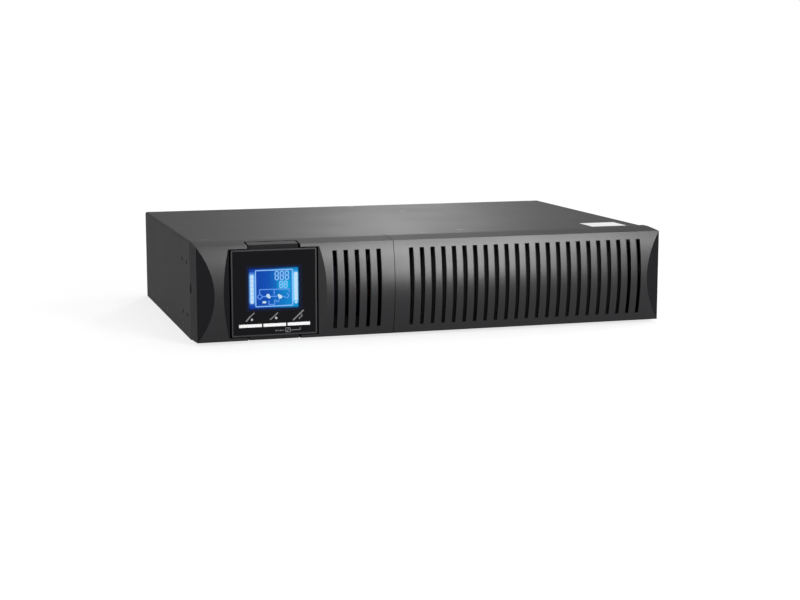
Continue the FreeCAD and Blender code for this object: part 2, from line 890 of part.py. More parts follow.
def display_lens():
    """The clear window over the display."""
    front, back = overlay_span()
    x, z = lens_place()
    return centred(x, z, lens_width - 0.1, lens_height - 0.1, front, back)


def display_glass():
    """The liquid crystal cell behind the lens."""
    front, back = glass_span()
    x, z = lens_place()
    return centred(x, z, lens_width + 2 * glass_margin, lens_height + 2 * glass_margin, front, back)


def display_light():
    """The light guide behind the cell."""
    front = glass_span()[1]
    x, z = lens_place()
    return centred(x, z, lens_width + 2 * glass_margin, lens_height + 2 * glass_margin,
                   front, front + light_thickness)


def display_board():
    """The display's circuit board."""
    front, back = display_board_span()
    size = display_size - 2 * display_wall - 1.0
    board = centred(display_x, display_z, size, size, front, back)
    holes = [rod(screw_radius + screw_clearance, (x, front - 1, z), (x, back + 1, z))
             for x, z in display_post_places()]
    return without(board, holes)


def display_post_places():
    """X and Z of the four posts that the display's board is screwed to."""
    reach = display_size / 2 - display_wall - 4.0
    return [(display_x + i * reach, display_z + j * reach) for i in (-1, 1) for j in (-1, 1)]


def display_back():
    """The cover behind the board, with posts that press the board into place and a slot for its lead."""
    inside = display_size - 2 * display_wall - 0.2
    back = display_back_y()
    cover = centred(display_x, display_z, inside, inside, back - display_wall, back)
    start = display_board_span()[1]
    posts = [tube(3.0, screw_radius + screw_clearance, (x, start, z), (x, back, z))
             for x, z in display_post_places()]
    lead_slot = centred(display_x, display_z, 22.0, 8.0, back - display_wall - 1, back + 1)
    holes = [rod(screw_radius + screw_clearance, (x, start, z), (x, back + 1, z))
             for x, z in display_post_places()]
    return without(joined([cover] + posts), holes + [lead_slot])


def display_screws():
    """The four screws through the back cover and the board."""
    back = display_back_y()
    start = display_board_span()[0]
    found = []
    for x, z in display_post_places():
        shank = rod(screw_radius, (x, start, z), (x, back, z))
        head = rod(screw_head_radius, (x, back, z), (x, back + 1.8, z))
        driver = [centred(x, z, 3.2, 0.6, back + 1, back + 3), centred(x, z, 0.6, 3.2, back + 1, back + 3)]
        found.append(without(joined([shank, head]), driver))
    return found


def key(x):
    """A key: its visible bar, a shoulder behind the overlay and the stem on its switch."""
    front, back = overlay_span()
    z = key_row_z()
    bar = centred(x, z, key_length, key_height, front - key_proud, back + key_travel + 0.3)
    bar = rounded(bar, 0.3, lambda b: b.YMax < front - key_proud + 0.01)
    plunger_end = display_board_span()[0] - switch_height + 0.5
    stem = rod(stem_radius, (x, back, z), (x, plunger_end, z))
    shoulder = centred(x, z, key_length + key_gap / 2, key_height + 2 * key_shoulder,
                       back + 0.05, back + 0.05 + key_shoulder)
    return joined([bar, shoulder, stem])


def key_switches():
    """The three push switches on the board, each with a well for its key's stem."""
    back = display_board_span()[0]
    found = []
    for x in key_centres():
        body = centred(x, key_row_z(), switch_size, switch_size, back - switch_height, back)
        well = rod(stem_radius + 0.2, (x, back - switch_height - 1, key_row_z()),
                   (x, back - switch_height + 0.5 + key_travel + 0.3, key_row_z()))
        found.append(body.cut(well))
    return found


# --- Steel case ---------------------------------------------------------------------------------
def base_pan():
    """The floor, its side flanges and the front wall, folded from one sheet."""
    walls = [
        block(-pan_x, pan_x, front_y, rear_y, 0, sheet),
        block(-pan_x, pan_x, front_y, front_y + sheet, 0, pan_top),
        block(-pan_x, pan_x, front_y, front_y + lip_depth, pan_top - sheet, pan_top),
        block(-pan_x, -pan_x + sheet, front_y, rear_in, 0, side_flange),
        block(pan_x - sheet, pan_x, front_y, rear_in, 0, side_flange),
    ]
    tools = [screw_seat(*p) for p in cover_screw_places()]
    tools += front_wall_openings()
    tools += latch_slots(latch_centres_left(), (True, False))
    tools += latch_slots(latch_centres_right(), (True,)) + latch_slots(latch_centres_right()[:2], (False,))
    tools += [rod(screw_radius, (x, y, -1), (x, y, sheet + 1)) for x, y in post_places()]
    return without(joined(walls), tools)


def front_wall_openings():
    """Openings in the front wall: air inlets, the display's lead, the battery bay and its screws."""
    y0, y1 = front_y - 1, front_y + sheet + 1
    low, high = slot_low + vent_margin, slot_low + slot_height - 1.5 * vent_margin
    tools = [centred(display_x, display_z, lead_opening_width, lead_opening_height, y0, y1)]
    for x in left_slots() + [x for x in right_slots() if x < bay_x - lead_opening_gap]:
        tools.append(block(x - slot_width / 2, x + slot_width / 2, y0, y1, low, high))
    x0, x1, z1 = bay_opening()
    tools.append(block(x0, x1, y0, y1, sheet, z1))
    for x, z in tray_screw_places():
        tools.append(rod(screw_radius + screw_clearance, (x, y0, z), (x, y1, z)))
    return tools


def latch_slots(centres, heights):
    """Holes in the front wall that the panels' latches go through."""
    found = []
    inner = latch_drop + latch_thickness
    for x in centres:
        for top in heights:
            z = unit_height - (latch_drop + inner) / 2 if top else (latch_drop + inner) / 2
            found.append(centred(x, z, latch_width + 2 * latch_slot_gap, latch_thickness + 2 * latch_slot_gap,
                                 front_y - 1, front_y + sheet + 1))
    return found


def bay_opening():
    """Left edge, right edge and top of the opening that the battery tray goes through."""
    half = tray_width / 2 + bay_opening_side
    return tray_x - half, tray_x + half, bay_opening_height


def top_cover():
    """The top and both sides, folded from one sheet."""
    walls = [
        block(-half_width, half_width, front_y, rear_y, roof_z, unit_height),
        block(-half_width, -inner_x, front_y, rear_y, 0, unit_height),
        block(inner_x, half_width, front_y, rear_y, 0, unit_height),
    ]
    cover = joined(walls)
    cover = rounded(cover, cover_bend, lambda b: along_y(b) and b.ZMin > roof_z + sheet / 2 and
                    abs(abs(b.XMin) - half_width) < 0.01)
    tools = [screw_seat(*p) for p in cover_screw_places()]
    for y, z in ear_places():
        tools.append(rod(ear_hole_radius, (-half_width - 1, y, z), (half_width + 1, y, z)))
    return without(cover, tools)


def ear_nuts():
    """Clinch nuts behind the rack ear holes."""
    found = []
    for side in (-1, 1):
        for y, z in ear_places():
            start = (side * inner_x, y, z)
            end = (side * (inner_x - nut_depth), y, z)
            found.append(tube(nut_radius, ear_hole_radius, start, end))
    return found


def top_label():
    """The blank paper label on the cover."""
    x1 = half_width - label_side
    y0 = front_y + label_front
    return block(x1 - label_length, x1, y0, y0 + label_depth, unit_height, unit_height + label_thickness)


def rear_panel():
    """The rear wall with its cut-outs, folded forward at the top and bottom."""
    floor = sheet + 0.05
    walls = [
        block(-pan_x, pan_x, rear_in, rear_y, floor, pan_top),
        block(-pan_x, pan_x, rear_in - rear_lip, rear_y, pan_top - sheet, pan_top),
        block(-pan_x + sheet + 1, pan_x - sheet - 1, rear_in - rear_lip, rear_y, floor, floor + sheet),
    ]
    tools = [screw_seat(*p) for p in cover_screw_places()]
    y0, y1 = rear_in - 1, rear_y + 1
    tools.append(rod(fan_bore, (fan_x, y0, fan_z), (fan_x, y1, fan_z)))
    for x, z in fan_screw_places():
        tools.append(rod(screw_radius + screw_clearance, (x, y0, z), (x, y1, z)))
    sockets = [(inlet_x, inlet_z, inlet_width, inlet_height), (bank_left_x, outlet_z, bank_width, bank_height),
               (bank_right_x, outlet_z, bank_width, bank_height)]
    ports_cut = [(serial_x, ports_z, serial_width, serial_height), (usb_x, ports_z, usb_width, usb_height),
                 (stop_x, ports_z, stop_width, stop_height), (jacks_x, ports_z, jacks_width, jacks_height)]
    for x, z, width, height in sockets:
        tools.append(centred(x, z, width + 2 * cutout_gap, height + 2 * cutout_gap, y0, y1))
    for x, z, width, height in ports_cut:
        tools.append(centred(x, z, width + 2 * port_lead_in, height + 2 * port_lead_in, y0, y1))
    for x in inlet_screw_xs():
        tools.append(rod(screw_radius + screw_clearance, (x, y0, inlet_z), (x, y1, inlet_z)))
    tools.append(rod(breaker_radius + cutout_gap, (inlet_x, y0, breaker_z), (inlet_x, y1, breaker_z)))
    for x in serial_nut_xs():
        tools.append(rod(screw_radius + screw_clearance, (x, y0, ports_z), (x, y1, ports_z)))
    for x, width, height in ((card_x, card_width, card_height),
                             (expansion_x, expansion_width, expansion_height)):
        tools.append(centred(x, card_z, width - 2 * plate_overlap_x, height - 2 * plate_overlap_z, y0, y1))
    for x in plate_screw_xs(card_x, card_width) + plate_screw_xs(expansion_x, expansion_width):
        tools.append(rod(screw_radius + screw_clearance, (x, y0, card_z), (x, y1, card_z)))
    tools.append(rod(ground_radius + screw_clearance, (inlet_x, y0, ground_z), (inlet_x, y1, ground_z)))
    return without(joined(walls), tools)


# --- Battery bay --------------------------------------------------------------------------------
def bay_wall():
    """The wall between the batteries and the electronics, folded at its top to carry the cover."""
    y0, y1 = front_y + sheet + seat_gap, rear_y - outlet_depth - bay_wall_gap
    over_lip = front_y + lip_depth + 1.0
    walls = [
        block(bay_x, bay_x + sheet, y0, y1, sheet, pan_top - sheet - seat_gap),
        block(bay_x, bay_x + sheet, over_lip, y1, sheet, roof_z),
        block(bay_x - bay_fold, bay_x + sheet, over_lip, y1, roof_z - sheet, roof_z),
        block(bay_x - bay_fold, bay_x + sheet, over_lip, y1, sheet, 2 * sheet),
    ]
    return without(joined(walls), [screw_seat(*p) for p in cover_screw_places()])


def tray_rails():
    """Two low angles that guide the battery tray."""
    y0, y1 = front_y + sheet + seat_gap, tray_back
    half = tray_width / 2 + tray_float
    right = joined([
        block(tray_x + half, tray_x + half + sheet, y0, y1, sheet, sheet + rail_height),
        block(tray_x + half, min(tray_x + half + rail_foot, pan_x - sheet), y0, y1, sheet, 2 * sheet),
    ])
    left = right.mirror(Vector(tray_x, 0, 0), Vector(1, 0, 0))
    return [left, right]


def tray_screw_places():
    """X and Z of the two screws that hold the tray shut."""
    reach = tray_width / 2 + bay_opening_side + tray_flange_margin - tray_screw_inset
    z = bay_opening_height + tray_screw_rise
    return [(tray_x - reach, z), (tray_x + reach, z)]


def tray_flange_top():
    """Upper edge of the tray's front flange."""
    return bay_opening_height + tray_flange_margin


def battery_tray():
    """The tray with its front flange, low walls and the lip it is pulled out by."""
    half = tray_width / 2
    flange_half = half + bay_opening_side + tray_flange_margin
    z0 = tray_floor
    top = tray_flange_top()
    y0 = front_y - seat_gap - tray_sheet
    riser = front_y + bay_opening_side / 10
    wall_y = front_y + battery_front_gap / 3
    lip = pull_lip_width / 2
    walls = [
        block(tray_x - half, tray_x + half, riser, tray_back + tray_sheet, z0, z0 + tray_sheet),
        block(tray_x - half, tray_x + half, riser, riser + tray_sheet, z0, tray_step + tray_sheet),
        block(tray_x - half, tray_x + half, y0, riser + tray_sheet, tray_step, tray_step + tray_sheet),
        block(tray_x - half, tray_x - half + tray_sheet, wall_y, tray_back + tray_sheet, z0, z0 + tray_wall),
        block(tray_x + half - tray_sheet, tray_x + half, wall_y, tray_back + tray_sheet, z0, z0 + tray_wall),
        block(tray_x - half, tray_x + half, tray_back, tray_back + tray_sheet, z0, z0 + tray_wall),
        block(tray_x - flange_half, tray_x + flange_half, y0, y0 + tray_sheet, tray_step, top),
        block(tray_x - lip, tray_x + lip, y0 - pull_lip, y0 + tray_sheet, top - tray_sheet, top),
    ]
    low, high = slot_low + tray_vent_rise, slot_low + slot_height - tray_vent_top
    tools = [block(x - slot_width / 2, x + slot_width / 2, y0 - 1, y0 + tray_sheet + 1, low, high)
             for x in right_slots() if abs(x - tray_x) < half - slot_pitch / 2]
    for x, z in tray_screw_places():
        tools.append(rod(screw_radius + screw_clearance, (x, y0 - 1, z), (x, y0 + 3, z)))
    return without(joined(walls), tools)


def tray_screws():
    """The two pan-head screws that hold the tray shut."""
    y0 = front_y - seat_gap - tray_sheet
    found = []
    for x, z in tray_screw_places():
        top = y0 - pan_head_height
        head = rod(screw_head_radius, (x, top, z), (x, y0, z))
        shank = rod(screw_radius, (x, y0, z), (x, front_y + tray_screw_reach, z))
        found.append(without(joined([head, shank]), cross_recess(x, z, top - 1, y0 - pan_head_height / 2)))
    return found


def battery_starts():
    """Front depth of each battery."""
    return [battery_y + i * (battery_height + battery_spacing) for i in range(battery_count)]


def battery_top_y(i):
    """Depth of the face that carries battery i's terminals: neighbours face each other."""
    start = battery_starts()[i]
    return start + battery_height if i % 2 == 0 else start


def batteries():
    """The sealed batteries, laid on their sides, each with its lid as a step in the case."""
    found = []
    half = battery_length / 2
    rim = battery_groove / 2
    deep = battery_groove_depth
    for i, start in enumerate(battery_starts()):
        body = block(tray_x - half, tray_x + half, start, start + battery_height,
                     battery_z, battery_z + battery_thickness)
        body = rounded(body, battery_round, along_y)
        top = battery_top_y(i)
        seam = top - battery_lid if i % 2 == 0 else top + battery_lid
        groove = block(tray_x - half - 1, tray_x + half + 1, seam - rim, seam + rim,
                       battery_z - 1, battery_z + battery_thickness + 1)
        core = block(tray_x - half + deep, tray_x + half - deep, seam - 1, seam + 1,
                     battery_z + deep, battery_z + battery_thickness - deep)
        found.append(body.cut(groove.cut(core)))
    return found


def terminal_z():
    """Height of the battery terminals."""
    return battery_z + battery_thickness - terminal_drop


def battery_terminals():
    """The flat tabs on the batteries."""
    found = []
    for i in range(battery_count):
        y = battery_top_y(i)
        way = 1 if i % 2 == 0 else -1
        y0, y1 = sorted((y, y + way * terminal_length))
        for side in (-1, 1):
            x = tray_x + side * (battery_length / 2 - terminal_inset)
            found.append(centred(x, terminal_z(), terminal_thickness, terminal_height, y0, y1))
    return found


def bent_tube(points, radius):
    """A round lead along straight runs joined by tangent arcs."""
    path = [Vector(*p) for p in points]
    edges = []
    last = path[0]
    for before, corner, after in zip(path, path[1:], path[2:]):
        back, on = before - corner, after - corner
        turn = math.pi - back.getAngle(on)
        cut_back = min(lead_bend, 0.45 * back.Length, 0.45 * on.Length)
        start = corner + back.normalize() * cut_back
        end = corner + on.normalize() * cut_back
        bend = cut_back / math.tan(turn / 2)
        centre_way = (back + on).normalize()
        middle = corner + centre_way * (bend / math.cos(turn / 2) - bend)
        edges.append(Part.LineSegment(last, start).toShape())
        edges.append(Part.Arc(start, middle, end).toShape())
        last = end
    edges.append(Part.LineSegment(last, path[-1]).toShape())
    route = Part.Wire(edges)
    way = path[1] - path[0]
    section = Part.Wire(Part.makeCircle(radius, path[0], way))
    return route.makePipeShell([section], True, False)


def battery_leads():
    """The two leads from the left-hand terminals to the plug behind the tray, over the rear battery."""
    x = tray_x - battery_length / 2 + terminal_inset
    middle = battery_y + battery_height + battery_spacing / 2
    over = battery_z + battery_thickness + lead_radius + lead_clearance
    rear = tray_back + tray_sheet + plug_depth / 2
    plug_top = plug_z() + plug_height / 2
    run = rear - middle
    found = []
    for shift in (-lead_spread, lead_spread):
        lane = x + shift
        end = tray_x + shift * 1.5
        points = [
            (lane, middle, terminal_z() - lead_start),
            (lane, middle, over),
            (lane, middle + 0.27 * run, over),
            (lane + 0.56 * (end - lane), middle + 0.62 * run, over),
            (end, rear, over),
            (end, rear, plug_top),
        ]
        found.append(bent_tube(points, lead_radius))
    return found


def plug_z():
    """Height of the battery plug's middle."""
    return tray_floor + tray_sheet + plug_rise


def tray_plug():
    """The half of the battery connector that rides on the tray."""
    y0 = tray_back + tray_sheet
    body = centred(tray_x, plug_z(), plug_width, plug_height, y0, y0 + plug_depth)
    return rounded(body, plug_round, along_y)


def bay_plug():
    """The half of the battery connector that stays in the case, on its bracket."""
    y0 = tray_back + tray_sheet + plug_depth + tray_float
    body = centred(tray_x, plug_z(), plug_width, plug_height, y0, y0 + plug_depth)
    return rounded(body, plug_round, along_y)


def plug_bracket():
    """The angle bracket under the fixed half of the battery connector."""
    y0 = tray_back + tray_sheet + plug_depth + tray_float
    y1 = y0 + plug_depth
    half = plug_width / 2
    z1 = plug_z() - plug_height / 2
    return joined([
        block(tray_x - half, tray_x + half, y0, y1, z1 - sheet, z1),
        block(tray_x - half, tray_x + half, y1 - sheet, y1, sheet, z1),
        block(tray_x - half, tray_x + half, y1 - sheet, y1 + bracket_foot, sheet, 2 * sheet),
    ])


def battery_link():
    """The strap that joins the two batteries at their right-hand terminals."""
    x = tray_x + battery_length / 2 - terminal_inset + terminal_thickness / 2
    y0 = battery_top_y(0) + link_thickness
    y1 = battery_top_y(1) - link_thickness
    z = terminal_z()
    return block(x, x + link_thickness, y0, y1, z - terminal_height / 2, z + terminal_height / 2)


# --- Power electronics --------------------------------------------------------------------------
def power_board():
    """The main circuit board."""
    x0, x1, y0, y1 = power_board_edges()
    board = block(x0, x1, y0, y1, board_z, board_top)
    return without(board, [rod(screw_radius, (x, y, board_z - 1), (x, y, board_top + 1))
                           for x, y in post_places()])


def board_posts():
    """Hollow posts between the floor and the board."""
    return [tube(post_radius, screw_radius, (x, y, sheet), (x, y, board_z)) for x, y in post_places()]


def board_screws():
    """Pan-head screws down through the board into the posts."""
    found = []
    for x, y in post_places():
        head = rod(screw_head_radius, (x, y, board_top), (x, y, board_top + 2.0))
        shank = rod(screw_radius - 0.02, (x, y, sheet), (x, y, board_top + 0.5))
        found.append(joined([head, shank]))
    return found


def heatsink_front():
    """Front end of the heatsinks."""
    return front_y + board_inset + heatsink_start


def heatsink(x):
    """An extruded heatsink: an upright base with fins on its left."""
    y0 = heatsink_front()
    right = x + heatsink_width / 2
    base = block(right - heatsink_base, right, y0, y0 + heatsink_length, board_top, board_top + heatsink_height)
    count = int(heatsink_height / fin_pitch)
    fins = [block(x - heatsink_width / 2, right, y0, y0 + heatsink_length,
                  board_top + i * fin_pitch, board_top + i * fin_pitch + fin_thickness)
            for i in range(count + 1) if i * fin_pitch + fin_thickness <= heatsink_height]
    return joined([base] + fins)


def power_transistors():
    """Power transistors clamped flat on the heatsinks' bases."""
    found = []
    for x in heatsink_x:
        face = x + heatsink_width / 2
        for i in range(transistor_count):
            y = heatsink_front() + (i + 0.5) * heatsink_length / transistor_count
            foot = board_top + transistor_leg
            body = block(face, face + transistor_thickness, y - transistor_width / 2, y + transistor_width / 2,
                         foot, foot + transistor_height)
            leg_x = face + transistor_thickness / 2
            legs = [block(leg_x, leg_x + transistor_leg_thickness, y + j * transistor_leg_pitch,
                          y + j * transistor_leg_pitch + transistor_leg_width, board_top, foot)
                    for j in (-1, 0, 1)]
            found.append(joined([body] + legs))
    return found


def bus_capacitors():
    """The row of large smoothing capacitors, each with a rolled groove near its foot."""
    found = []
    for i in range(capacitor_count):
        y = heatsink_front() + capacitor_radius + i * capacitor_pitch
        x = capacitor_x
        can = rod(capacitor_radius, (x, y, board_top), (x, y, board_top + capacitor_height))
        can = rounded(can, capacitor_rim, lambda b: b.ZMin > board_top + capacitor_height - 0.1)
        z = board_top + capacitor_groove_z
        groove = tube(capacitor_radius + 1, capacitor_radius - capacitor_groove_depth, (x, y, z),
                      (x, y, z + capacitor_rim))
        found.append(can.cut(groove))
    return found


def chokes():
    """Two toroidal chokes lying on the board."""
    found = []
    for i in range(2):
        y = heatsink_front() + choke_radius + choke_core + i * 2 * (choke_radius + choke_core + 2)
        found.append(Part.makeTorus(choke_radius, choke_core, Vector(choke_x, y, board_top + choke_core)))
    return found


def transformer_y():
    """Y of the transformer's middle."""
    return heatsink_front() + 4 * (choke_radius + choke_core) + transformer_gap


def transformer_core():
    """The transformer's ferrite core: two limbs and two yokes round the winding."""
    x, y = choke_x, transformer_y()
    half, deep = transformer_width / 2, transformer_depth / 2
    foot, top = board_top + transformer_yoke, board_top + transformer_height - transformer_yoke
    limb = half - transformer_limb
    outer = block(x - half, x + half, y - deep, y + deep, board_top, board_top + transformer_height)
    window = block(x - limb, x + limb, y - deep - 1, y + deep + 1, foot, top)
    middle = block(x - transformer_middle / 2, x + transformer_middle / 2, y - deep, y + deep, foot, top)
    return joined([outer.cut(window), middle])


def transformer_winding():
    """The taped winding round the middle limb."""
    x, y = choke_x, transformer_y()
    half = transformer_width / 2 - transformer_limb - winding_gap
    deep = transformer_depth / 2 + winding_overhang
    foot = board_top + transformer_yoke + winding_gap
    top = board_top + transformer_height - transformer_yoke - winding_gap
    outer = rounded(block(x - half, x + half, y - deep, y + deep, foot, top), winding_round,
                    lambda b: b.ZLength > (top - foot) * 0.9)
    core = transformer_middle / 2 + winding_gap
    through = transformer_depth / 2 + winding_gap
    return outer.cut(block(x - core, x + core, y - through, y + through, foot - 1, top + 1))


def relays():
    """Sealed relays behind the capacitors."""
    found = []
    y0 = heatsink_front() + capacitor_count * capacitor_pitch + capacitor_gap
    for i in (-0.5, 0.5):
        x = capacitor_x + i * (relay_width + relay_gap)
        body = block(x - relay_width / 2, x + relay_width / 2, y0, y0 + relay_length, board_top,
                     board_top + relay_height)
        found.append(rounded(body, relay_gap / 5, lambda b: b.ZMin > board_top + relay_height - 0.1))
    return found


def control_board():
    """The control board, standing on the power board beside the bay wall."""
    x = control_board_x
    y0 = front_y + control_start
    return block(x, x + board_thickness, y0, y0 + control_length, board_top, board_top + control_height)


def control_chips():
    """Packages on the control board: a processor, three memory chips and a header."""
    x = control_board_x
    memory = (memory_length, memory_width, chip_thickness)
    places = [(0.25, 0.65, (processor_size, processor_size, chip_thickness)), (0.48, 0.7, memory),
              (0.48, 0.35, memory), (0.7, 0.6, memory), (0.8, 0.2, (header_length, header_width, header_depth))]
    found = []
    for along, up, (length, height, depth) in places:
        y = front_y + control_start + along * control_length
        z = board_top + up * control_height
        found.append(block(x - depth, x, y - length / 2, y + length / 2, z - height / 2, z + height / 2))
    return found


# --- Fan ----------------------------------------------------------------------------------------
def fan_screw_places():
    """X and Z of the fan's four screws."""
    half = fan_hole_pitch / 2
    return [(fan_x + i * half, fan_z + j * half) for i in (-1, 1) for j in (-1, 1)]


def fan_span():
    """Front and rear depths of the fan's frame."""
    return rear_in - fan_depth, rear_in


def at_fan(shape):
    """A shape drawn round the Y axis at the case's rear sheet, moved to the fan's axis."""
    shape.translate(Vector(fan_x, rear_in, fan_z))
    return shape


def fan_frame():
    """The fan's square frame with its struts, motor plate and bearing tube."""
    body = rounded(centred(0, 0, fan_size, fan_size, -fan_depth, 0), fan_corner, along_y)
    body = body.cut(rod(fan_bore, (0, -fan_depth - 1, 0), (0, 1, 0)))
    half = fan_hole_pitch / 2
    corners = [(i * half, j * half) for i in (-1, 1) for j in (-1, 1)]
    waist = without(centred(0, 0, fan_size + 2, fan_size + 2, fan_flange - fan_depth, -fan_flange),
                    [rod(fan_bore + fan_rim - 0.2, (0, -fan_depth, 0), (0, 0, 0))]
                    + [rod(fan_corner + 0.6, (x, -fan_depth, z), (x, 0, z)) for x, z in corners])
    pieces = [body.cut(waist), rod(fan_hub - 1, (0, -fan_plate, 0), (0, 0, 0))]
    for turn in (45, 135, 225, 315):
        strut = block(0, fan_bore + 0.8, -fan_plate, 0, -fan_strut / 2, fan_strut / 2)
        strut.rotate(Vector(0, 0, 0), Vector(0, 1, 0), turn)
        pieces.append(strut)
    pieces.append(rod(bearing_radius, (0, 5.5 - fan_depth, 0), (0, 0, 0)))
    bore = rod(shaft_radius + shaft_clearance, (0, -fan_depth, 0), (0, -1.0, 0))
    holes = [rod(screw_radius + screw_clearance, (x, -fan_depth - 1, z), (x, 1, z)) for x, z in corners]
    return at_fan(without(joined(pieces), [bore] + holes))


def fan_stator():
    """The motor's fixed coil, on the bearing tube inside the hub."""
    y0, y1 = fan_span()
    start, end = (fan_x, y0 + 6.5, fan_z), (fan_x, y1 - 4.0, fan_z)
    return tube(fan_hub - fan_hub_wall - 3.0, bearing_radius, start, end)


def fan_blade():
    """One twisted blade, from the hub out to its tip, along +X."""
    y = -fan_depth / 2 - 1.5
    sections = []
    tip = fan_bore - fan_tip_gap
    for radius, chord, pitch in ((fan_hub - 0.6, 0.4 * tip, 42.0), (tip, 0.65 * tip, 27.0)):
        lean = math.radians(pitch)
        along = Vector(0, math.sin(lean), math.cos(lean)) * (chord / 2)
        across = Vector(0, math.cos(lean), -math.sin(lean)) * (blade_thickness / 2)
        middle = Vector(radius, y, 0)
        corners = [middle + along + across, middle + along - across,
                   middle - along - across, middle - along + across]
        sections.append(Part.makePolygon(corners + [corners[0]]))
    blade = Part.makeLoft(sections, True, True)
    return blade.common(tube(tip, fan_hub - 0.7, (0, -fan_depth, 0), (0, 0, 0)))


def fan_rotor():
    """The hub with its shaft and blades."""
    start, end = 2.0 - fan_depth, -3.2
    cup = rounded(rod(fan_hub, (0, start, 0), (0, end, 0)), fan_hub_wall, lambda b: b.YMax < start + 0.1)
    cup = cup.cut(rod(fan_hub - fan_hub_wall, (0, start + 2.0, 0), (0, end + 1, 0)))
    shaft = rod(shaft_radius, (0, start + 1.0, 0), (0, -1.5, 0))
    blades = []
    for i in range(blade_count):
        blade = fan_blade()
        blade.rotate(Vector(0, 0, 0), Vector(0, 1, 0), i * 360 / blade_count)
        blades.append(blade)
    return at_fan(joined([cup, shaft] + blades))


def fan_guard():
    """The wire guard over the fan: rings on a cross, with an eye at each corner."""
    y_ring = sheet + guard_wire
    y_bar = y_ring + 1.6 * guard_wire
    axis = Vector(0, 1, 0)
    pieces = []
    radius = fan_bore - 1.0
    while radius > guard_pitch / 2:
        pieces.append(Part.makeTorus(radius, guard_wire, Vector(0, y_ring, 0), axis))
        radius -= guard_pitch
    eye_x = fan_hole_pitch / math.sqrt(2)
    inner = eye_x - guard_eye - guard_wire
    for turn in (45, 135, 225, 315):
        bar = rod(guard_wire, (1, y_bar, 0), (inner - 1.9, y_bar, 0))
        link = rod(guard_wire, (inner - 2.1, y_bar, 0), (inner - 0.7, y_ring, 0))
        tail = rod(guard_wire, (inner - 0.9, y_ring, 0), (inner + guard_wire, y_ring, 0))
        eye = Part.makeTorus(guard_eye, guard_wire, Vector(eye_x, y_ring, 0), axis)
        spoke = joined([bar, link, tail, eye])
        spoke.rotate(Vector(0, 0, 0), axis, turn)
        pieces.append(spoke)
    pieces.append(rod(guard_wire * 2, (0, y_bar - guard_wire, 0), (0, y_bar + guard_wire, 0)))
    return at_fan(joined(pieces))


def fan_screws():
    """The four pan-head screws through the guard's eyes and the fan."""
    found = []
    seat = rear_y + 2 * guard_wire
    top = seat + pan_head_height
    for x, z in fan_screw_places():
        head = rod(pan_head_radius, (x, seat, z), (x, top, z))
        head = rounded(head, pan_head_height / 3, lambda b: b.YMin > top - 0.1)
        shank = rod(screw_radius, (x, rear_in - fan_depth + fan_plate, z), (x, seat + 0.1, z))
        found.append(without(joined([head, shank]), cross_recess(x, z, top - 1.2, top + 1)))
    return found


# --- Rear sockets -------------------------------------------------------------------------------

def socket_outline(x, z, width, height, corner, y0, y1):
    """The keyed outline of a mains socket: a rectangle with its two upper corners cut off."""
    half = width / 2
    points = [(x - half, y0, z - height / 2), (x + half, y0, z - height / 2),
              (x + half, y0, z + height / 2 - corner), (x + half - corner, y0, z + height / 2),
              (x - half + corner, y0, z + height / 2), (x - half, y0, z + height / 2 - corner)]
    return plate(points, (0, y1 - y0, 0))


def blade_places(x, z):
    """X and Z of the line, neutral and earth contacts of a mains socket."""
    low = z - contact_drop
    return [(x - contact_spread, low), (x + contact_spread, low), (x, z + contact_rise)]


def inlet_screw_xs():
    """X of the inlet's two screws."""
    return [inlet_x - inlet_screw_pitch / 2, inlet_x + inlet_screw_pitch / 2]


def power_inlet():
    """The mains inlet: flange, body and the keyed recess."""
    face = rear_y + inlet_flange_thickness
    back = rear_y - inlet_body_depth
    flange = centred(inlet_x, inlet_z, inlet_flange_width, inlet_flange_height, rear_y, face)
    flange = rounded(flange, inlet_corner, along_y)
    body = centred(inlet_x, inlet_z, inlet_width, inlet_height, back, face)
    tools = [socket_outline(inlet_x, inlet_z, socket_width, socket_height, socket_corner, face - socket_depth,
                            face + 1)]
    tools += [rod(screw_radius + screw_clearance, (x, rear_y - 1, inlet_z), (x, face + 1, inlet_z))
              for x in inlet_screw_xs()]
    tools += [centred(x, z, blade_width, blade_height, back - 1, rear_y)
              for x, z in blade_places(inlet_x, inlet_z)]
    return without(joined([flange, body]), tools)


def inlet_blades():
    """The inlet's three contact blades, with their solder tags behind."""
    start = rear_y - inlet_body_depth - blade_tail
    end = rear_y + inlet_flange_thickness - blade_sink
    blades = [centred(x, z, blade_width, blade_height, start, end) for x, z in blade_places(inlet_x, inlet_z)]
    return [rounded(blade, blade_round, lambda b: b.YMin > end - 0.1) for blade in blades]


def inlet_screws():
    """The inlet's two screws with their nuts behind the rear sheet."""
    found = []
    face = rear_y + inlet_flange_thickness
    top = face + inlet_head_height
    for x in inlet_screw_xs():
        head = rod(screw_head_radius, (x, face, inlet_z), (x, top, inlet_z))
        head = rounded(head, inlet_head_height / 3, lambda b: b.YMin > top - 0.1)
        shank = rod(screw_radius, (x, rear_in - nut_thickness - screw_tail, inlet_z), (x, face + 0.1, inlet_z))
        nut = rod(screw_head_radius, (x, rear_in - nut_thickness, inlet_z), (x, rear_in, inlet_z))
        found.append(without(joined([head, shank, nut]), cross_recess(x, inlet_z, top - 0.9, top + 1)))
    return found


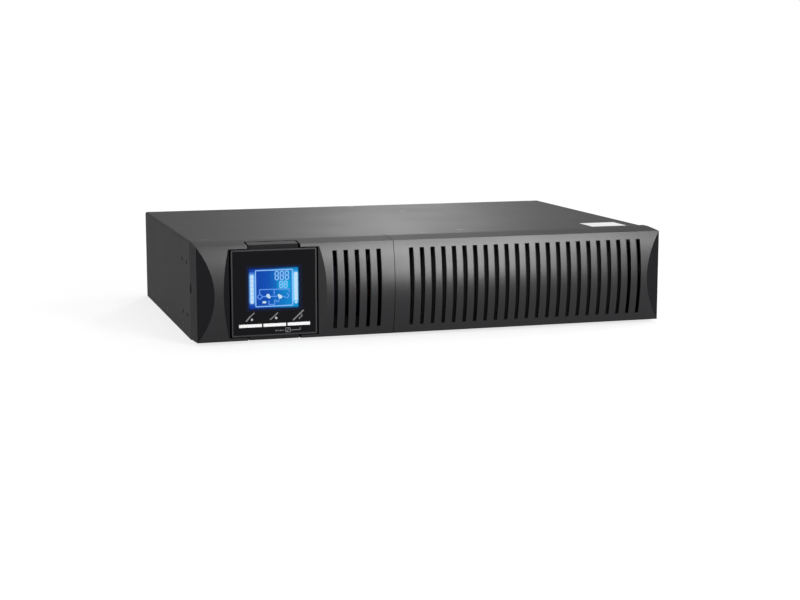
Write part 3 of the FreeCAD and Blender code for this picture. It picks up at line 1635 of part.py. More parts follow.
def breaker_body():
    """The resettable breaker: a block behind the sheet and a threaded neck with its nut."""
    z = breaker_z
    case = centred(inlet_x, z, breaker_width, breaker_height, rear_in - breaker_depth, rear_in)
    neck = rod(breaker_radius, (inlet_x, rear_in - 1, z), (inlet_x, rear_y + breaker_neck, z))
    nut = hexagon(breaker_nut_radius, inlet_x, z, rear_y, rear_y + breaker_nut_thickness)
    well_end = rear_in - button_sink - button_clearance
    bore = rod(button_radius + button_clearance, (inlet_x, well_end, z),
               (inlet_x, rear_y + breaker_neck + 1, z))
    return joined([case, neck, nut]).cut(bore)


def breaker_button():
    """The breaker's button, which stands further out when it has tripped."""
    end = rear_y + button_reach
    button = rod(button_radius, (inlet_x, rear_in - button_sink, breaker_z), (inlet_x, end, breaker_z))
    return rounded(button, button_radius / 4, lambda b: b.YMin > end - 0.1)


def outlet_places(x):
    """X and Z of the four outlets of the bank at x."""
    return [(x + a * outlet_pitch_x / 2, outlet_z + b * outlet_pitch_z / 2) for a in (-1, 1) for b in (-1, 1)]


def outlet_bank(x):
    """A moulded block of four mains outlets."""
    face = rear_y + bank_face
    flange = centred(x, outlet_z, bank_width + 2 * bank_flange, bank_height + 2 * bank_flange, rear_y, face)
    flange = rounded(flange, bank_round, along_y)
    body = centred(x, outlet_z, bank_width, bank_height, rear_y - outlet_depth, face)
    tools = []
    for ox, oz in outlet_places(x):
        moat = socket_outline(ox, oz, moat_width, moat_height, moat_corner, face - moat_depth, face + 1)
        island = socket_outline(ox, oz, moat_width - 2 * moat_gap, moat_height - 2 * moat_gap, island_corner,
                                face - moat_depth - 1, face - island_sink)
        tools.append(moat.cut(island))
        tools += [centred(cx, cz, contact_width, contact_height, face - contact_depth, face)
                  for cx, cz in blade_places(ox, oz)]
    return without(joined([flange, body]), tools)


def outlet_contacts():
    """Sprung contacts at the bottom of the outlets' slots."""
    start = rear_y + bank_face - contact_depth
    width, height = contact_width - 2 * contact_clearance, contact_height - 2 * contact_clearance
    return [centred(cx, cz, width, height, start, start + contact_length)
            for x in (bank_left_x, bank_right_x) for ox, oz in outlet_places(x)
            for cx, cz in blade_places(ox, oz)]


def port_board_low():
    """Height of the port board's underside: the ports stand on its upper face."""
    return ports_z - jacks_height / 2 - board_thickness


def port_board():
    """The board that carries the signal ports, standing on the floor on its own feet."""
    x0, x1 = ports_left - port_board_margin, expansion_x + expansion_width / 2 + port_board_margin
    z = port_board_low()
    return block(x0, x1, rear_in - port_board_depth, rear_in - port_board_gap, z, z + board_thickness)


def port_board_feet():
    """Four spacers between the floor and the port board."""
    x0, x1 = ports_left, expansion_x + expansion_width / 2
    front = (rear_in - port_board_depth + port_foot, sheet)
    rear = (rear_in - port_foot, 2 * sheet + seat_gap / 4)
    return [rod(port_foot_radius, (x, y, floor), (x, y, port_board_low()))
            for x in (x0, x1) for y, floor in (front, rear)]


def port_foot_block(x, width, height):
    """The foot between a port's underside and the port board."""
    half = width / 2 - port_foot_gap
    return block(x - half, x + half, rear_in - port_body_depth, rear_in - port_foot_gap,
                 ports_z - jacks_height / 2, ports_z - height / 2)


def serial_nut_xs():
    """X of the serial port's two hexagon nuts."""
    return [serial_x - serial_nut_pitch / 2, serial_x + serial_nut_pitch / 2]


def d_outline(half, height, y0, y1):
    """The D outline of a serial connector, wider at its top."""
    z0, z1 = ports_z - height / 2, ports_z + height / 2
    points = [(serial_x - half + serial_slant, y0, z0), (serial_x + half - serial_slant, y0, z0),
              (serial_x + half, y0, z1), (serial_x - half, y0, z1)]
    return plate(points, (0, y1 - y0, 0))


def serial_port():
    """The nine-way serial port: flange, shell, insulator with its holes and the body on the board."""
    reach = rear_y + serial_reach
    inner_half = serial_shell_half - serial_shell_wall
    inner_height = serial_shell_height - 2 * serial_shell_wall
    flange = centred(serial_x, ports_z, serial_flange_width, serial_flange_height, rear_y,
                     rear_y + serial_flange_thickness)
    flange = rounded(flange, serial_corner, along_y)
    shell = d_outline(serial_shell_half, serial_shell_height, rear_y, reach)
    shell = shell.cut(d_outline(inner_half, inner_height, reach - serial_core_sink, reach + 1))
    body = centred(serial_x, ports_z, serial_width, serial_height, rear_in - port_body_depth, rear_y + 0.4)
    foot = port_foot_block(serial_x, serial_width, serial_height)
    holes = []
    for row, count in ((serial_row_rise, 5), (-serial_row_rise, 4)):
        for i in range(count):
            x = serial_x + (i - (count - 1) / 2) * serial_pin_pitch
            z = ports_z + row
            holes.append(rod(serial_pin_radius, (x, reach - serial_reach / 2, z), (x, reach + 1, z)))
    seats = [rod(screw_radius, (x, rear_y - 1, ports_z), (x, rear_y + 2, ports_z)) for x in serial_nut_xs()]
    return without(joined([flange, shell, body, foot]), holes + seats)


def serial_nuts():
    """The serial port's two hexagon stand-offs."""
    found = []
    face = rear_y + serial_flange_thickness
    end = face + hex_length
    for x in serial_nut_xs():
        head = hexagon(hex_radius, x, ports_z, face, end)
        shank = rod(screw_radius - 0.05, (x, rear_in - nut_thickness, ports_z), (x, face + 0.1, ports_z))
        bore = rod(hex_bore, (x, end - hex_length * 0.8, ports_z), (x, end + 1, ports_z))
        found.append(joined([head, shank]).cut(bore))
    return found


def usb_port():
    """The square signal port: a shell with its tongue."""
    face = rear_y + port_proud
    shell = centred(usb_x, ports_z, usb_width, usb_height, rear_in - usb_depth, face)
    foot = port_foot_block(usb_x, usb_width, usb_height)
    mouth = socket_outline(usb_x, ports_z, usb_mouth_width, usb_mouth_height, usb_mouth_corner,
                           face - usb_mouth_depth, face + 1)
    tongue = centred(usb_x, ports_z, usb_tongue_width, usb_tongue_height, face - usb_mouth_depth - 1,
                     face - port_proud)
    return joined([shell, foot]).cut(mouth.cut(tongue))


def stop_terminal():
    """The two-way plug-in terminal for an emergency stop switch."""
    face = rear_y + stop_reach
    body = centred(stop_x, ports_z, stop_width, stop_height, rear_in - port_body_depth, face)
    foot = port_foot_block(stop_x, stop_width, stop_height)
    low, high = ports_z - stop_hole_drop, ports_z + stop_screw_rise
    tools = []
    for x in (stop_x - stop_pitch / 2, stop_x + stop_pitch / 2):
        tools.append(centred(x, low, stop_hole, stop_hole, face - stop_hole_depth, face + 1))
        tools.append(rod(stop_screw_radius, (x, face - stop_screw_depth, high), (x, face + 1, high)))
    return without(joined([body, foot]), tools)


def jack_centres():
    """X of the two network jacks."""
    return [jacks_x - jack_pitch / 2, jacks_x + jack_pitch / 2]


def network_jacks():
    """The pair of surge-protected network jacks in one block."""
    face = rear_y + port_proud
    back = face - jack_depth
    z = ports_z - jack_drop
    body = centred(jacks_x, ports_z, jacks_width, jacks_height, back - jack_back, face)
    tools = []
    for x in jack_centres():
        tools.append(centred(x, z, jack_width, jack_height, back, face + 1))
        tools.append(block(x - jack_key_width / 2, x + jack_key_width / 2, back, face + 1, z,
                           z + jack_height / 2 + jack_key_height))
    return without(body, tools)


def jack_contacts():
    """The sprung wires across the floor of each jack."""
    face = rear_y + port_proud
    floor = ports_z - jack_drop - jack_height / 2
    half = jack_wire_width / 2
    return [block(x + shift - half, x + shift + half, face - jack_depth, face - jack_wire_sink, floor,
                  floor + jack_wire_height)
            for x in jack_centres()
            for shift in [(i - (jack_wires - 1) / 2) * jack_wire_pitch for i in range(jack_wires)]]


def plate_screw_xs(x, width):
    """X of the two thumbscrews of a cover plate."""
    return [x - width / 2 + plate_screw_inset, x + width / 2 - plate_screw_inset]


def cover_plate(x, width, height):
    """A blank cover plate over a slot in the rear sheet."""
    body = centred(x, card_z, width, height, rear_y, rear_y + plate_thickness)
    body = rounded(body, plate_round, along_y)
    end = rear_y + plate_thickness + 1
    holes = [rod(screw_radius + screw_clearance, (sx, rear_y - 1, card_z), (sx, end, card_z))
             for sx in plate_screw_xs(x, width)]
    return without(body, holes)


def thumbscrews(x, width):
    """Two knurled screws that hold a cover plate; their heads reach furthest back."""
    found = []
    start, end = rear_y + plate_thickness, rear_y + rear_reach
    turns = [math.tau * i / thumb_flutes for i in range(thumb_flutes)]
    for sx in plate_screw_xs(x, width):
        head = rod(thumb_radius, (sx, start, card_z), (sx, end, card_z))
        flutes = [rod(thumb_flute, (fx, start + thumb_collar, fz), (fx, end + 1, fz))
                  for fx, fz in [(sx + thumb_radius * math.cos(a), card_z + thumb_radius * math.sin(a))
                                 for a in turns]]
        driver = centred(sx, card_z, 2 * thumb_radius + 1, thumb_slot_width, end - thumb_slot_depth, end + 1)
        shank = rod(screw_radius, (sx, rear_in - thumb_tail, card_z), (sx, start + 1, card_z))
        found.append(without(joined([head, shank]), flutes + [driver]))
    return found


def ground_stud():
    """The earth screw below the inlet, with its washer and the nut behind the sheet."""
    x, z = inlet_x, ground_z
    face = rear_y + ground_washer_thickness
    top = face + ground_head_height
    back = rear_in - ground_nut_thickness
    washer = rod(ground_washer, (x, rear_y, z), (x, face, z))
    head = rod(ground_head_radius, (x, face, z), (x, top, z))
    shank = rod(ground_radius, (x, back - ground_nut_thickness, z), (x, face + 1, z))
    nut = rod(ground_nut_radius, (x, back, z), (x, rear_in, z))
    driver = cross_recess(x, z, top - 1.2, top + 1, 1.35 * drive_length)
    return without(joined([washer, head, shank, nut]), driver)


# --- Build --------------------------------------------------------------------------------------
os.makedirs("parts", exist_ok=True)

save("base_pan", base_pan())
save("top_cover", top_cover())
save("rear_panel", rear_panel())
save("cover_screws", *[screw(*p) for p in cover_screw_places()])
save("ear_nuts", *ear_nuts())
save("top_label", top_label())
save("front_panel_left", front_panel_left())
save("front_panel_right", front_panel_right())

save("display_housing", display_housing())
save("display_overlay", display_overlay())
save("display_lens", display_lens())
save("display_glass", display_glass())
save("display_light", display_light())
save("display_board", display_board())
save("display_back", display_back())
save("display_screws", *display_screws())
save("key_switches", *key_switches())
for key_name, key_x in zip(("key_left", "key_middle", "key_right"), key_centres()):
    save(key_name, key(key_x))

save("bay_wall", bay_wall())
save("tray_rails", *tray_rails(), plug_bracket())
save("battery_tray", battery_tray())
save("tray_screws", *tray_screws())
save("batteries", *batteries())
save("battery_terminals", *battery_terminals())
save("battery_leads", *battery_leads(), battery_link())
save("tray_plug", tray_plug())
save("bay_plug", bay_plug())

save("power_board", power_board())
save("board_posts", *board_posts(), *port_board_feet())
save("board_screws", *board_screws())
save("heatsinks", *[heatsink(x) for x in heatsink_x])
save("power_transistors", *power_transistors())
save("bus_capacitors", *bus_capacitors())
save("chokes", *chokes())
save("transformer_core", transformer_core())
save("transformer_winding", transformer_winding())
save("relays", *relays())
save("small_boards", control_board(), port_board())
save("control_chips", *control_chips())

save("fan_frame", fan_frame())
save("fan_stator", fan_stator())
save("fan_rotor", fan_rotor())
save("fan_guard", fan_guard())

save("power_inlet", power_inlet())
save("socket_contacts", *inlet_blades(), *outlet_contacts(), *jack_contacts())
save("rear_screws", *fan_screws(), *inlet_screws(), *serial_nuts(), ground_stud())
save("breaker_body", breaker_body())
save("breaker_button", breaker_button())
save("outlet_banks", outlet_bank(bank_left_x), outlet_bank(bank_right_x))
save("serial_port", serial_port())
save("usb_port", usb_port())
save("stop_terminal", stop_terminal())
save("network_jacks", network_jacks())
save("slot_covers", cover_plate(card_x, card_width, card_height),
     cover_plate(expansion_x, expansion_width, expansion_height))
save("thumbscrews", *thumbscrews(card_x, card_width), *thumbscrews(expansion_x, expansion_width))
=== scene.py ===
"""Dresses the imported 2U uninterruptible power supply in Blender.

Metres, in the CAD's frame: +X right seen from the front, +Y to the rear, +Z up. Values whose
names end in _mm are millimetres. Places come from the boxes of the CAD's own nodes.
"""
import math

import bmesh
import bpy
from mathutils import Matrix, Vector


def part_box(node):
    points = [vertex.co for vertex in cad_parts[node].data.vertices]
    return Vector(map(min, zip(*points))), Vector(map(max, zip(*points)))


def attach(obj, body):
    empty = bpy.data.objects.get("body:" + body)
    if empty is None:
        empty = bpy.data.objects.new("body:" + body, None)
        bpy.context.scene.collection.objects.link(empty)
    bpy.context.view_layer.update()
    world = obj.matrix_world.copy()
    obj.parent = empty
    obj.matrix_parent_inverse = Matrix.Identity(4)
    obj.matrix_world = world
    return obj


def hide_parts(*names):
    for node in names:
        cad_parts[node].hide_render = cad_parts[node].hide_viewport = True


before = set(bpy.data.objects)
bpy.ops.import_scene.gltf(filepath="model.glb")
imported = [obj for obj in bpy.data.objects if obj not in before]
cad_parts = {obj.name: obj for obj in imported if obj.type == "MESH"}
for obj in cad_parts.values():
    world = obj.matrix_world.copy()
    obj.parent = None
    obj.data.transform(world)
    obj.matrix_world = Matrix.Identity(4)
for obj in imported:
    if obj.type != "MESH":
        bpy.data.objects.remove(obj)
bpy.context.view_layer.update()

MM = 0.001
SAME = 1e-6                 # places nearer to each other than this are one place

# --- Places taken from the frame ----------------------------------------------------------------
left_low, left_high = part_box("front_panel_left")
right_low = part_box("front_panel_right")[0]
cover_low, cover_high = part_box("top_cover")
overlay_low, overlay_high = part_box("display_overlay")
lens_low, lens_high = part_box("display_lens")
housing_low, housing_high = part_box("display_housing")

# --- Sizes of the front, as in the CAD ----------------------------------------------------------
bulge = 6.5 * MM            # how far the arched face stands forward of its upper and lower edges
panel_wall = 2.5 * MM
front_top_drop = 1.2 * MM   # from the case's top down to the face's upper edge
front_foot = 2.9 * MM       # from the floor up to the face's lower edge
panel_level = 10.3 * MM     # length of the level strip of the panels' top
case_gap = 0.2 * MM
seam_gap = 0.5 * MM
end_bevel = 14.5 * MM       # width of the slanted facet at each end of the front

slot_width = 3.2 * MM
slot_pitch = 10.1 * MM
slot_low = 10.2 * MM
slot_high = 80.0 * MM
right_slots = 23
left_slots = 5
last_slot_to_end = 22.3 * MM
last_slot_to_seam = 13.9 * MM

rib_round_left = 0.5 * MM   # width and depth of the rounding down a rib's left-hand edge
rib_round_right = 1.0 * MM  # width of the rounding down its right-hand edge
rib_drop_right = 0.5 * MM   # depth of that rounding
rib_hold = 0.1 * MM         # keeps the flat of each rib flat

display_side_gap = 1.6 * MM
display_end_gap = 1.0 * MM
display_bevel = 6.3 * MM    # width of the slanted facet on each side of the display
notch_half = 23.8 * MM      # half the width of the notches for the display's grips
notch_depth = 16.1 * MM
guide_wall = 1.5 * MM
guide_overlap = 0.5 * MM    # by which the guide's walls start inside the panel's wall
guide_lead = 0.2 * MM
guide_end = 3.0 * MM        # from the guide's rear end to the front of the case
guide_play = 0.3 * MM
guide_rib_half = 0.75 * MM
guide_rib_inset = 6.0 * MM
guide_rib_lead = 7.0 * MM

pry_z = 46.5 * MM           # the round notch for prying, in the rear edge of each outer end
pry_half = 4.5 * MM
pry_depth = 7.0 * MM

latch_inset = 3.2 * MM
latch_thickness = 2.0 * MM
latch_half = 6.0 * MM
latch_fore = 12.0 * MM      # where a latch begins, in front of the case
latch_reach = 5.5 * MM      # how far it reaches into the case
latch_root_gap = 1.0 * MM
latch_to_seam = 14.0 * MM
latch_to_wall = 19.2 * MM
latch_to_right_end = 22.0 * MM
latch_to_left_end = 16.0 * MM
latch_to_display = 17.0 * MM

# --- How finely the front is divided ------------------------------------------------------------
arch_rows = 26
arch_row_gap = 1.4 * MM     # an even row this near to a fixed one is left out
pry_step = 18               # degrees
ledge = 0.05 * MM           # the short rows over which slots and the display's opening end
round_right = [math.sin(math.radians(a)) for a in range(0, 90, 15)]
round_left = [math.sin(math.radians(a)) for a in range(72, -1, -18)]
slot_lead = 1 + len(round_right)                # columns before a slot's left-hand edge
slot_span = slot_lead + 2 + len(round_left) + 1  # columns of one slot and of what rounds its edges
sharp_degrees = 19

half_width = cover_high[0]
case_front = cover_low[1]
case_top = cover_high[2]
crest_y = left_low[1]
rim_y = crest_y + bulge
panel_rear = case_front - case_gap
brow_y = case_front - panel_level
panel_top = left_high[2]
panel_foot = left_low[2]
seam_left = right_low[0] - seam_gap
display_x = (overlay_low[0] + overlay_high[0]) / 2
display_z = (overlay_low[2] + overlay_high[2]) / 2
display_half = (housing_high[0] - housing_low[0]) / 2
face_low = front_foot
face_high = case_top - front_top_drop

# The lit level columns, in millimetres from the display's centre
graph_left_mm = -19.6
graph_right_mm = 19.9


# --- Node helpers -------------------------------------------------------------------------------
def node(tree, kind, inputs=None, **settings):
    """Adds a node, sets its properties, and gives each input a value or links an output into it."""
    made = tree.nodes.new(kind)
    for name, value in settings.items():
        setattr(made, name, value)
    for name, given in (inputs or {}).items():
        if isinstance(given, bpy.types.NodeSocket):
            tree.links.new(given, made.inputs[name])
        else:
            made.inputs[name].default_value = given
    return made


def reckon(tree, operation, *given, **settings):
    """What a Math node makes of outputs and numbers."""
    return node(tree, "ShaderNodeMath", dict(enumerate(given)), operation=operation,
                **settings).outputs[0]


def object_place(tree):
    """The place on the object, as one vector."""
    return node(tree, "ShaderNodeTexCoord").outputs["Object"]


def new_material(name):
    """A material that uses nodes, its tree and its shader."""
    made = bpy.data.materials.new(name)
    made.use_nodes = True
    return made, made.node_tree, made.node_tree.nodes["Principled BSDF"]


def set_inputs(shader, **values):
    """Sets a shader's own sockets; a socket's spaces are underscores here."""
    for socket, value in values.items():
        shader.inputs[socket.replace("_", " ")].default_value = value


def group(name, inputs, outputs):
    """A node group with its sockets, and its input and output nodes."""
    tree = bpy.data.node_groups.new(name, "ShaderNodeTree")
    for socket, kind, value in inputs:
        made = tree.interface.new_socket(socket, in_out="INPUT", socket_type=kind)
        made.default_value = value
    for socket, kind in outputs:
        tree.interface.new_socket(socket, in_out="OUTPUT", socket_type=kind)
    return tree, tree.nodes.new("NodeGroupInput").outputs, tree.nodes.new("NodeGroupOutput").inputs


def surface_group():
    """Fine grain with slow colour drift: gives colour, roughness and normal over the object."""
    tree, given, result = group("surface grain", [
        ("Colour", "NodeSocketColor", (0.5, 0.5, 0.5, 1)),
        ("Drift", "NodeSocketFloat", 0.15),
        ("Grain scale", "NodeSocketFloat", 1500.0),
        ("Grain depth", "NodeSocketFloat", 0.00003),
        ("Roughness", "NodeSocketFloat", 0.5),
        ("Roughness spread", "NodeSocketFloat", 0.1),
    ], [("Colour", "NodeSocketColor"), ("Roughness", "NodeSocketFloat"),
        ("Normal", "NodeSocketVector")])
    fine_share = 0.35
    place = object_place(tree)
    fine = node(tree, "ShaderNodeTexNoise", {"Detail": 3.0, "Roughness": 0.6, "Vector": place,
                                             "Scale": given["Grain scale"]}).outputs["Fac"]
    slow = node(tree, "ShaderNodeTexNoise", {"Scale": 14.0, "Detail": 4.0, "Roughness": 0.55,
                                             "Vector": place}).outputs["Fac"]
    both = reckon(tree, "MULTIPLY_ADD", fine, fine_share, slow)
    centred = reckon(tree, "SUBTRACT", both, (1 + fine_share) / 2)
    factor = reckon(tree, "ADD", reckon(tree, "MULTIPLY", centred, given["Drift"]), 1.0)
    tint = node(tree, "ShaderNodeVectorMath", {0: given["Colour"], "Scale": factor},
                operation="SCALE").outputs[0]
    rough = reckon(tree, "MULTIPLY_ADD", centred, given["Roughness spread"], given["Roughness"],
                   use_clamp=True)
    bump = node(tree, "ShaderNodeBump", {"Strength": 1.0, "Height": fine,
                                         "Distance": given["Grain depth"]}).outputs[0]
    for source, socket in ((tint, "Colour"), (rough, "Roughness"), (bump, "Normal")):
        tree.links.new(source, result[socket])
    return tree


surface_grain = surface_group()


def look(name, colour, roughness=0.5, drift=0.15, scale=1500.0, depth_mm=0.02, spread=0.12,
         **sockets):
    """A material: colour, roughness and normal from the grain group, the rest set plainly."""
    made, tree, shader = new_material(name)
    grain = node(tree, "ShaderNodeGroup", node_tree=surface_grain)
    given = {"Colour": (*colour, 1), "Drift": drift, "Grain scale": scale,
             "Grain depth": depth_mm * MM, "Roughness": roughness, "Roughness spread": spread}
    for socket, value in given.items():
        grain.inputs[socket].default_value = value
    for source, socket in (("Colour", "Base Color"), ("Roughness", "Roughness"),
                           ("Normal", "Normal")):
        tree.links.new(grain.outputs[source], shader.inputs[socket])
    set_inputs(shader, **sockets)
    return made


def glow(name, colour):
    """A lit marking: plain emission over a dark base."""
    return look(name, (0.01, 0.01, 0.01), 0.4, depth_mm=0.0, Emission_Color=(*colour, 1),
                Emission_Strength=1.0)


# --- Materials: colour, roughness, drift, grain's scale, its depth in mm, roughness spread ------
powder = look("powder coat", (0.025, 0.025, 0.0255), 0.52, 0.2, 1100.0, 0.04, 0.10,
              Specular_IOR_Level=0.012)
plastic = look("moulded plastic", (0.003, 0.003, 0.004), 0.31, 0.14, 2600.0, 0.008, 0.08,
               Specular_IOR_Level=0.33)
textured = look("textured plastic", (0.010, 0.010, 0.011), 0.72, 0.14, 1800.0, 0.02, 0.08,
                Specular_IOR_Level=0.07)
# painted shade: a darker copy of the textured plastic, put on the slanted facets and the slots'
# sides so that they read dark
facet = look("facet plastic", (0.006, 0.006, 0.007), 0.70, 0.14, 1800.0, 0.02, 0.08,
             Specular_IOR_Level=0.06)
rim_plastic = look("display frame plastic", (0.008, 0.008, 0.009), 0.40, 0.12, 2600.0, 0.008,
                   Specular_IOR_Level=0.3)
inner_plastic = look("guide plastic", (0.006, 0.006, 0.007), 0.6, 0.12, 2600.0, 0.015,
                     Specular_IOR_Level=0.15)
gloss_black = look("polished overlay", (0.002, 0.002, 0.003), 0.10, 0.1, 900.0, 0.0, 0.02,
                   Specular_IOR_Level=0.09)
black = look("black moulding", (0.014, 0.014, 0.015), 0.5, 0.15, 2200.0, 0.02)
steel = look("zinc steel", (0.55, 0.56, 0.57), 0.35, 0.1, 900.0, 0.01, 0.15, Metallic=1.0)
dark_screw = look("black screw", (0.016, 0.016, 0.017), 0.55, 0.2, 1500.0, 0.01, 0.1,
                  Specular_IOR_Level=0.10)
nickel = look("nickel wire", (0.72, 0.71, 0.69), 0.22, 0.08, 900.0, 0.004, 0.1, Metallic=1.0)
brass = look("brass", (0.70, 0.52, 0.24), 0.3, 0.1, 900.0, 0.005, 0.1, Metallic=1.0)
tin = look("tinned contact", (0.66, 0.65, 0.62), 0.3, 0.1, 900.0, 0.005, 0.1, Metallic=1.0)
aluminium = look("extruded aluminium", (0.62, 0.63, 0.65), 0.38, 0.1, 700.0, 0.01, 0.12,
                 Metallic=1.0)
ferrite = look("ferrite", (0.05, 0.05, 0.053), 0.55, 0.2, 2000.0, 0.02)
copper = look("enamelled copper", (0.55, 0.22, 0.07), 0.3, 0.15, 1200.0, 0.02, Metallic=0.8)
board_green = look("solder mask", (0.012, 0.10, 0.035), 0.35, 0.25, 700.0, 0.01)
white_key = look("white key", (0.60, 0.60, 0.60), 0.4, 0.04, 2500.0, 0.008)
battery_grey = look("battery case", (0.045, 0.047, 0.055), 0.45, 0.15, 1800.0, 0.02)
red_sleeve = look("red sleeve", (0.38, 0.015, 0.012), 0.4, 0.12, 1800.0, 0.01)
plug_grey = look("connector grey", (0.25, 0.26, 0.28), 0.45, 0.1, 1800.0, 0.01)
shrink = look("shrink sleeve", (0.012, 0.016, 0.035), 0.25, 0.1, 900.0, 0.01)
tape = look("insulating tape", (0.020, 0.022, 0.03), 0.45, 0.12, 600.0, 0.02)
relay_blue = look("relay case", (0.03, 0.06, 0.16), 0.4, 0.1, 1800.0, 0.01)
red_button = look("red button", (0.42, 0.012, 0.010), 0.3, 0.08, 1800.0, 0.008)
green = look("terminal green", (0.015, 0.17, 0.05), 0.45, 0.1, 1800.0, 0.01)
paper = look("label paper", (0.66, 0.66, 0.655), 0.9, 0.06, 700.0, 0.01, Specular_IOR_Level=0.1)
grey_print = look("grey print", (0.13, 0.13, 0.135), 0.5, 0.05, 2500.0, 0.0,
                  Specular_IOR_Level=0.1)
pale_print = look("pale print", (0.34, 0.34, 0.35), 0.5, 0.05, 2500.0, 0.0,
                  Specular_IOR_Level=0.1)

lit_white = glow("lit segments", (0.53, 0.74, 0.90))
lit_pale = glow("lit figures", (0.20, 0.50, 0.95))
lit_blue = glow("lit outlines", (0.06, 0.28, 0.90))


def falloff(tree, value, start, end):
    """1 where the value is at start, falling smoothly to 0 at end."""
    return node(tree, "ShaderNodeMapRange", {"From Min": end, "From Max": start, "Value": value},
                interpolation_type="SMOOTHSTEP").outputs[0]


def distance(tree, value, middle, half=0.0):
    """How far a coordinate lies from a place, or from a span round it."""
    size = reckon(tree, "ABSOLUTE", reckon(tree, "SUBTRACT", value, middle))
    return reckon(tree, "SUBTRACT", size, half) if half else size


def product(tree, *values):
    """The product of several masks."""
    result = values[0]
    for value in values[1:]:
        result = reckon(tree, "MULTIPLY", result, value)
    return result


def patch(tree, x, z, across, up):
    """A soft patch of light over a span across and up. Each span is given as its middle, its half
    length, and the distances beyond it at which the light starts to fade and is gone."""
    masks = []
    for value, (middle, half, start, end) in ((x, across), (z, up)):
        masks.append(falloff(tree, distance(tree, value, middle, half), start, end))
    return product(tree, *masks)


def tinted(tree, mask, colour):
    """A colour where the mask is 1, and black where it is 0."""
    return node(tree, "ShaderNodeMix", {0: mask, 6: (0, 0, 0, 1), 7: (*colour, 1)},
                data_type="RGBA").outputs[2]


def backlight():
    """The lit liquid crystal: deep blue at the left to cyan at the right, fading out at its edges,
    and paler round the level columns and the second row of figures."""
    made, tree, shader = new_material("lit liquid crystal")
    place = node(tree, "ShaderNodeSeparateXYZ", {0: object_place(tree)})
    x, z = place.outputs[0], place.outputs[2]
    # Where the light fades out at the left, right, lower and upper edge
    edges = [falloff(tree, x, lens_low[0] + 2.2 * MM, lens_low[0]),
             falloff(tree, x, lens_high[0] - 1.8 * MM, lens_high[0]),
             falloff(tree, z, lens_low[2] + 1.0 * MM, lens_low[2] - 0.8 * MM),
             falloff(tree, z, lens_high[2] - 2.4 * MM, lens_high[2])]
    across = node(tree, "ShaderNodeMapRange", {"From Min": lens_low[0], "From Max": lens_high[0],
                                               "Value": x})
    ramp = node(tree, "ShaderNodeValToRGB", {"Fac": across.outputs[0]})
    stops = ramp.color_ramp.elements
    stops[0].color = (0.0, 0.045, 0.45, 1)
    stops[1].color = (0.0, 0.33, 0.78, 1)
    for where, colour in ((0.40, (0.0, 0.090, 0.52, 1)), (0.75, (0.0, 0.25, 0.68, 1))):
        stops.new(where).color = colour
    columns = [patch(tree, x, z, (display_x + at * MM, 0.0, 1.0 * MM, 4.2 * MM),
                     (display_z + 3.6 * MM, 10.5 * MM, 0.0, 5.0 * MM))
               for at in (graph_left_mm, graph_right_mm)]
    figures = patch(tree, x, z, (display_x + 9.0 * MM, 0.0, 2.0 * MM, 7.5 * MM),
                    (display_z + 6.0 * MM, 0.0, 1.0 * MM, 6.5 * MM))
    tone = ramp.outputs[0]
    for extra in (tinted(tree, reckon(tree, "ADD", *columns), (0.22, 0.55, 0.80)),
                  tinted(tree, figures, (0.0, 0.30, 0.24))):
        tone = node(tree, "ShaderNodeVectorMath", {0: tone, 1: extra}, operation="ADD").outputs[0]
    shown = node(tree, "ShaderNodeVectorMath", {0: tone, "Scale": product(tree, *edges)},
                 operation="SCALE")
    tree.links.new(shown.outputs[0], shader.inputs["Emission Color"])
    set_inputs(shader, Emission_Strength=1.0, Base_Color=(0.002, 0.003, 0.006, 1), Roughness=0.4,
               Specular_IOR_Level=0.1)
    return made


def light_leak(material):
    """Adds the faint blue light that the lit display spills into the overlay round its window."""
    tree = material.node_tree
    place = node(tree, "ShaderNodeSeparateXYZ", {0: object_place(tree)})
    reach = 3.2 * MM
    across, up = (((lens_low[axis] + lens_high[axis]) / 2, (lens_high[axis] - lens_low[axis]) / 2,
                   0.0, reach) for axis in (0, 2))
    near = patch(tree, place.outputs[0], place.outputs[2], across, up)
    shader = tree.nodes["Principled BSDF"]
    tree.links.new(tinted(tree, near, (0.0, 0.006, 0.034)), shader.inputs["Emission Color"])
    set_inputs(shader, Emission_Strength=1.0)


def clear_lens():
    """Clear acrylic over the display: see-through, with a gloss."""
    made, _, shader = new_material("clear lens")
    set_inputs(shader, Base_Color=(0.002, 0.002, 0.003, 1), Roughness=0.06, Alpha=0.10,
               Specular_IOR_Level=0.05)
    return made


lit_cell = backlight()
light_leak(gloss_black)
lens_clear = clear_lens()


# --- Mesh helpers -------------------------------------------------------------------------------
def finish_piece(name, mesh, material, body, smooth=True):
    """Links a mesh as a named piece that rides on a body and takes its finish from a slot."""
    made = bpy.data.objects.new(name, mesh)
    bpy.context.scene.collection.objects.link(made)
    mesh.materials.append(material)
    if smooth:
        for face in mesh.polygons:
            face.use_smooth = True
        mesh.set_sharp_from_angle(angle=math.radians(sharp_degrees))
    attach(made, body)
    return made


def from_bmesh(name, bm):
    """A mesh made from a bmesh, which is then freed."""
    mesh = bpy.data.meshes.new(name)
    bm.to_mesh(mesh)
    bm.free()
    return mesh


def add_box(bm, low, high):
    """Adds a box between two corners."""
    centre = (Vector(low) + Vector(high)) / 2
    size = Vector(high) - Vector(low)
    place = Matrix.Translation(centre) @ Matrix.Diagonal((*size, 1))
    bmesh.ops.create_cube(bm, size=1.0, matrix=place)


# --- Front panels -------------------------------------------------------------------------------
def face_y(z):
    """Depth of the arched face at a height."""
    middle = (face_low + face_high) / 2
    half = (face_high - face_low) / 2
    radius = (half ** 2 + bulge ** 2) / (2 * bulge)
    return crest_y + radius - math.sqrt(max(radius ** 2 - (z - middle) ** 2, 0.0))


def depth_share(z):
    """How far the face stands forward at a height, from 0 at its edges to 1 at its crest."""
    return max(rim_y - face_y(z), 0.0) / bulge


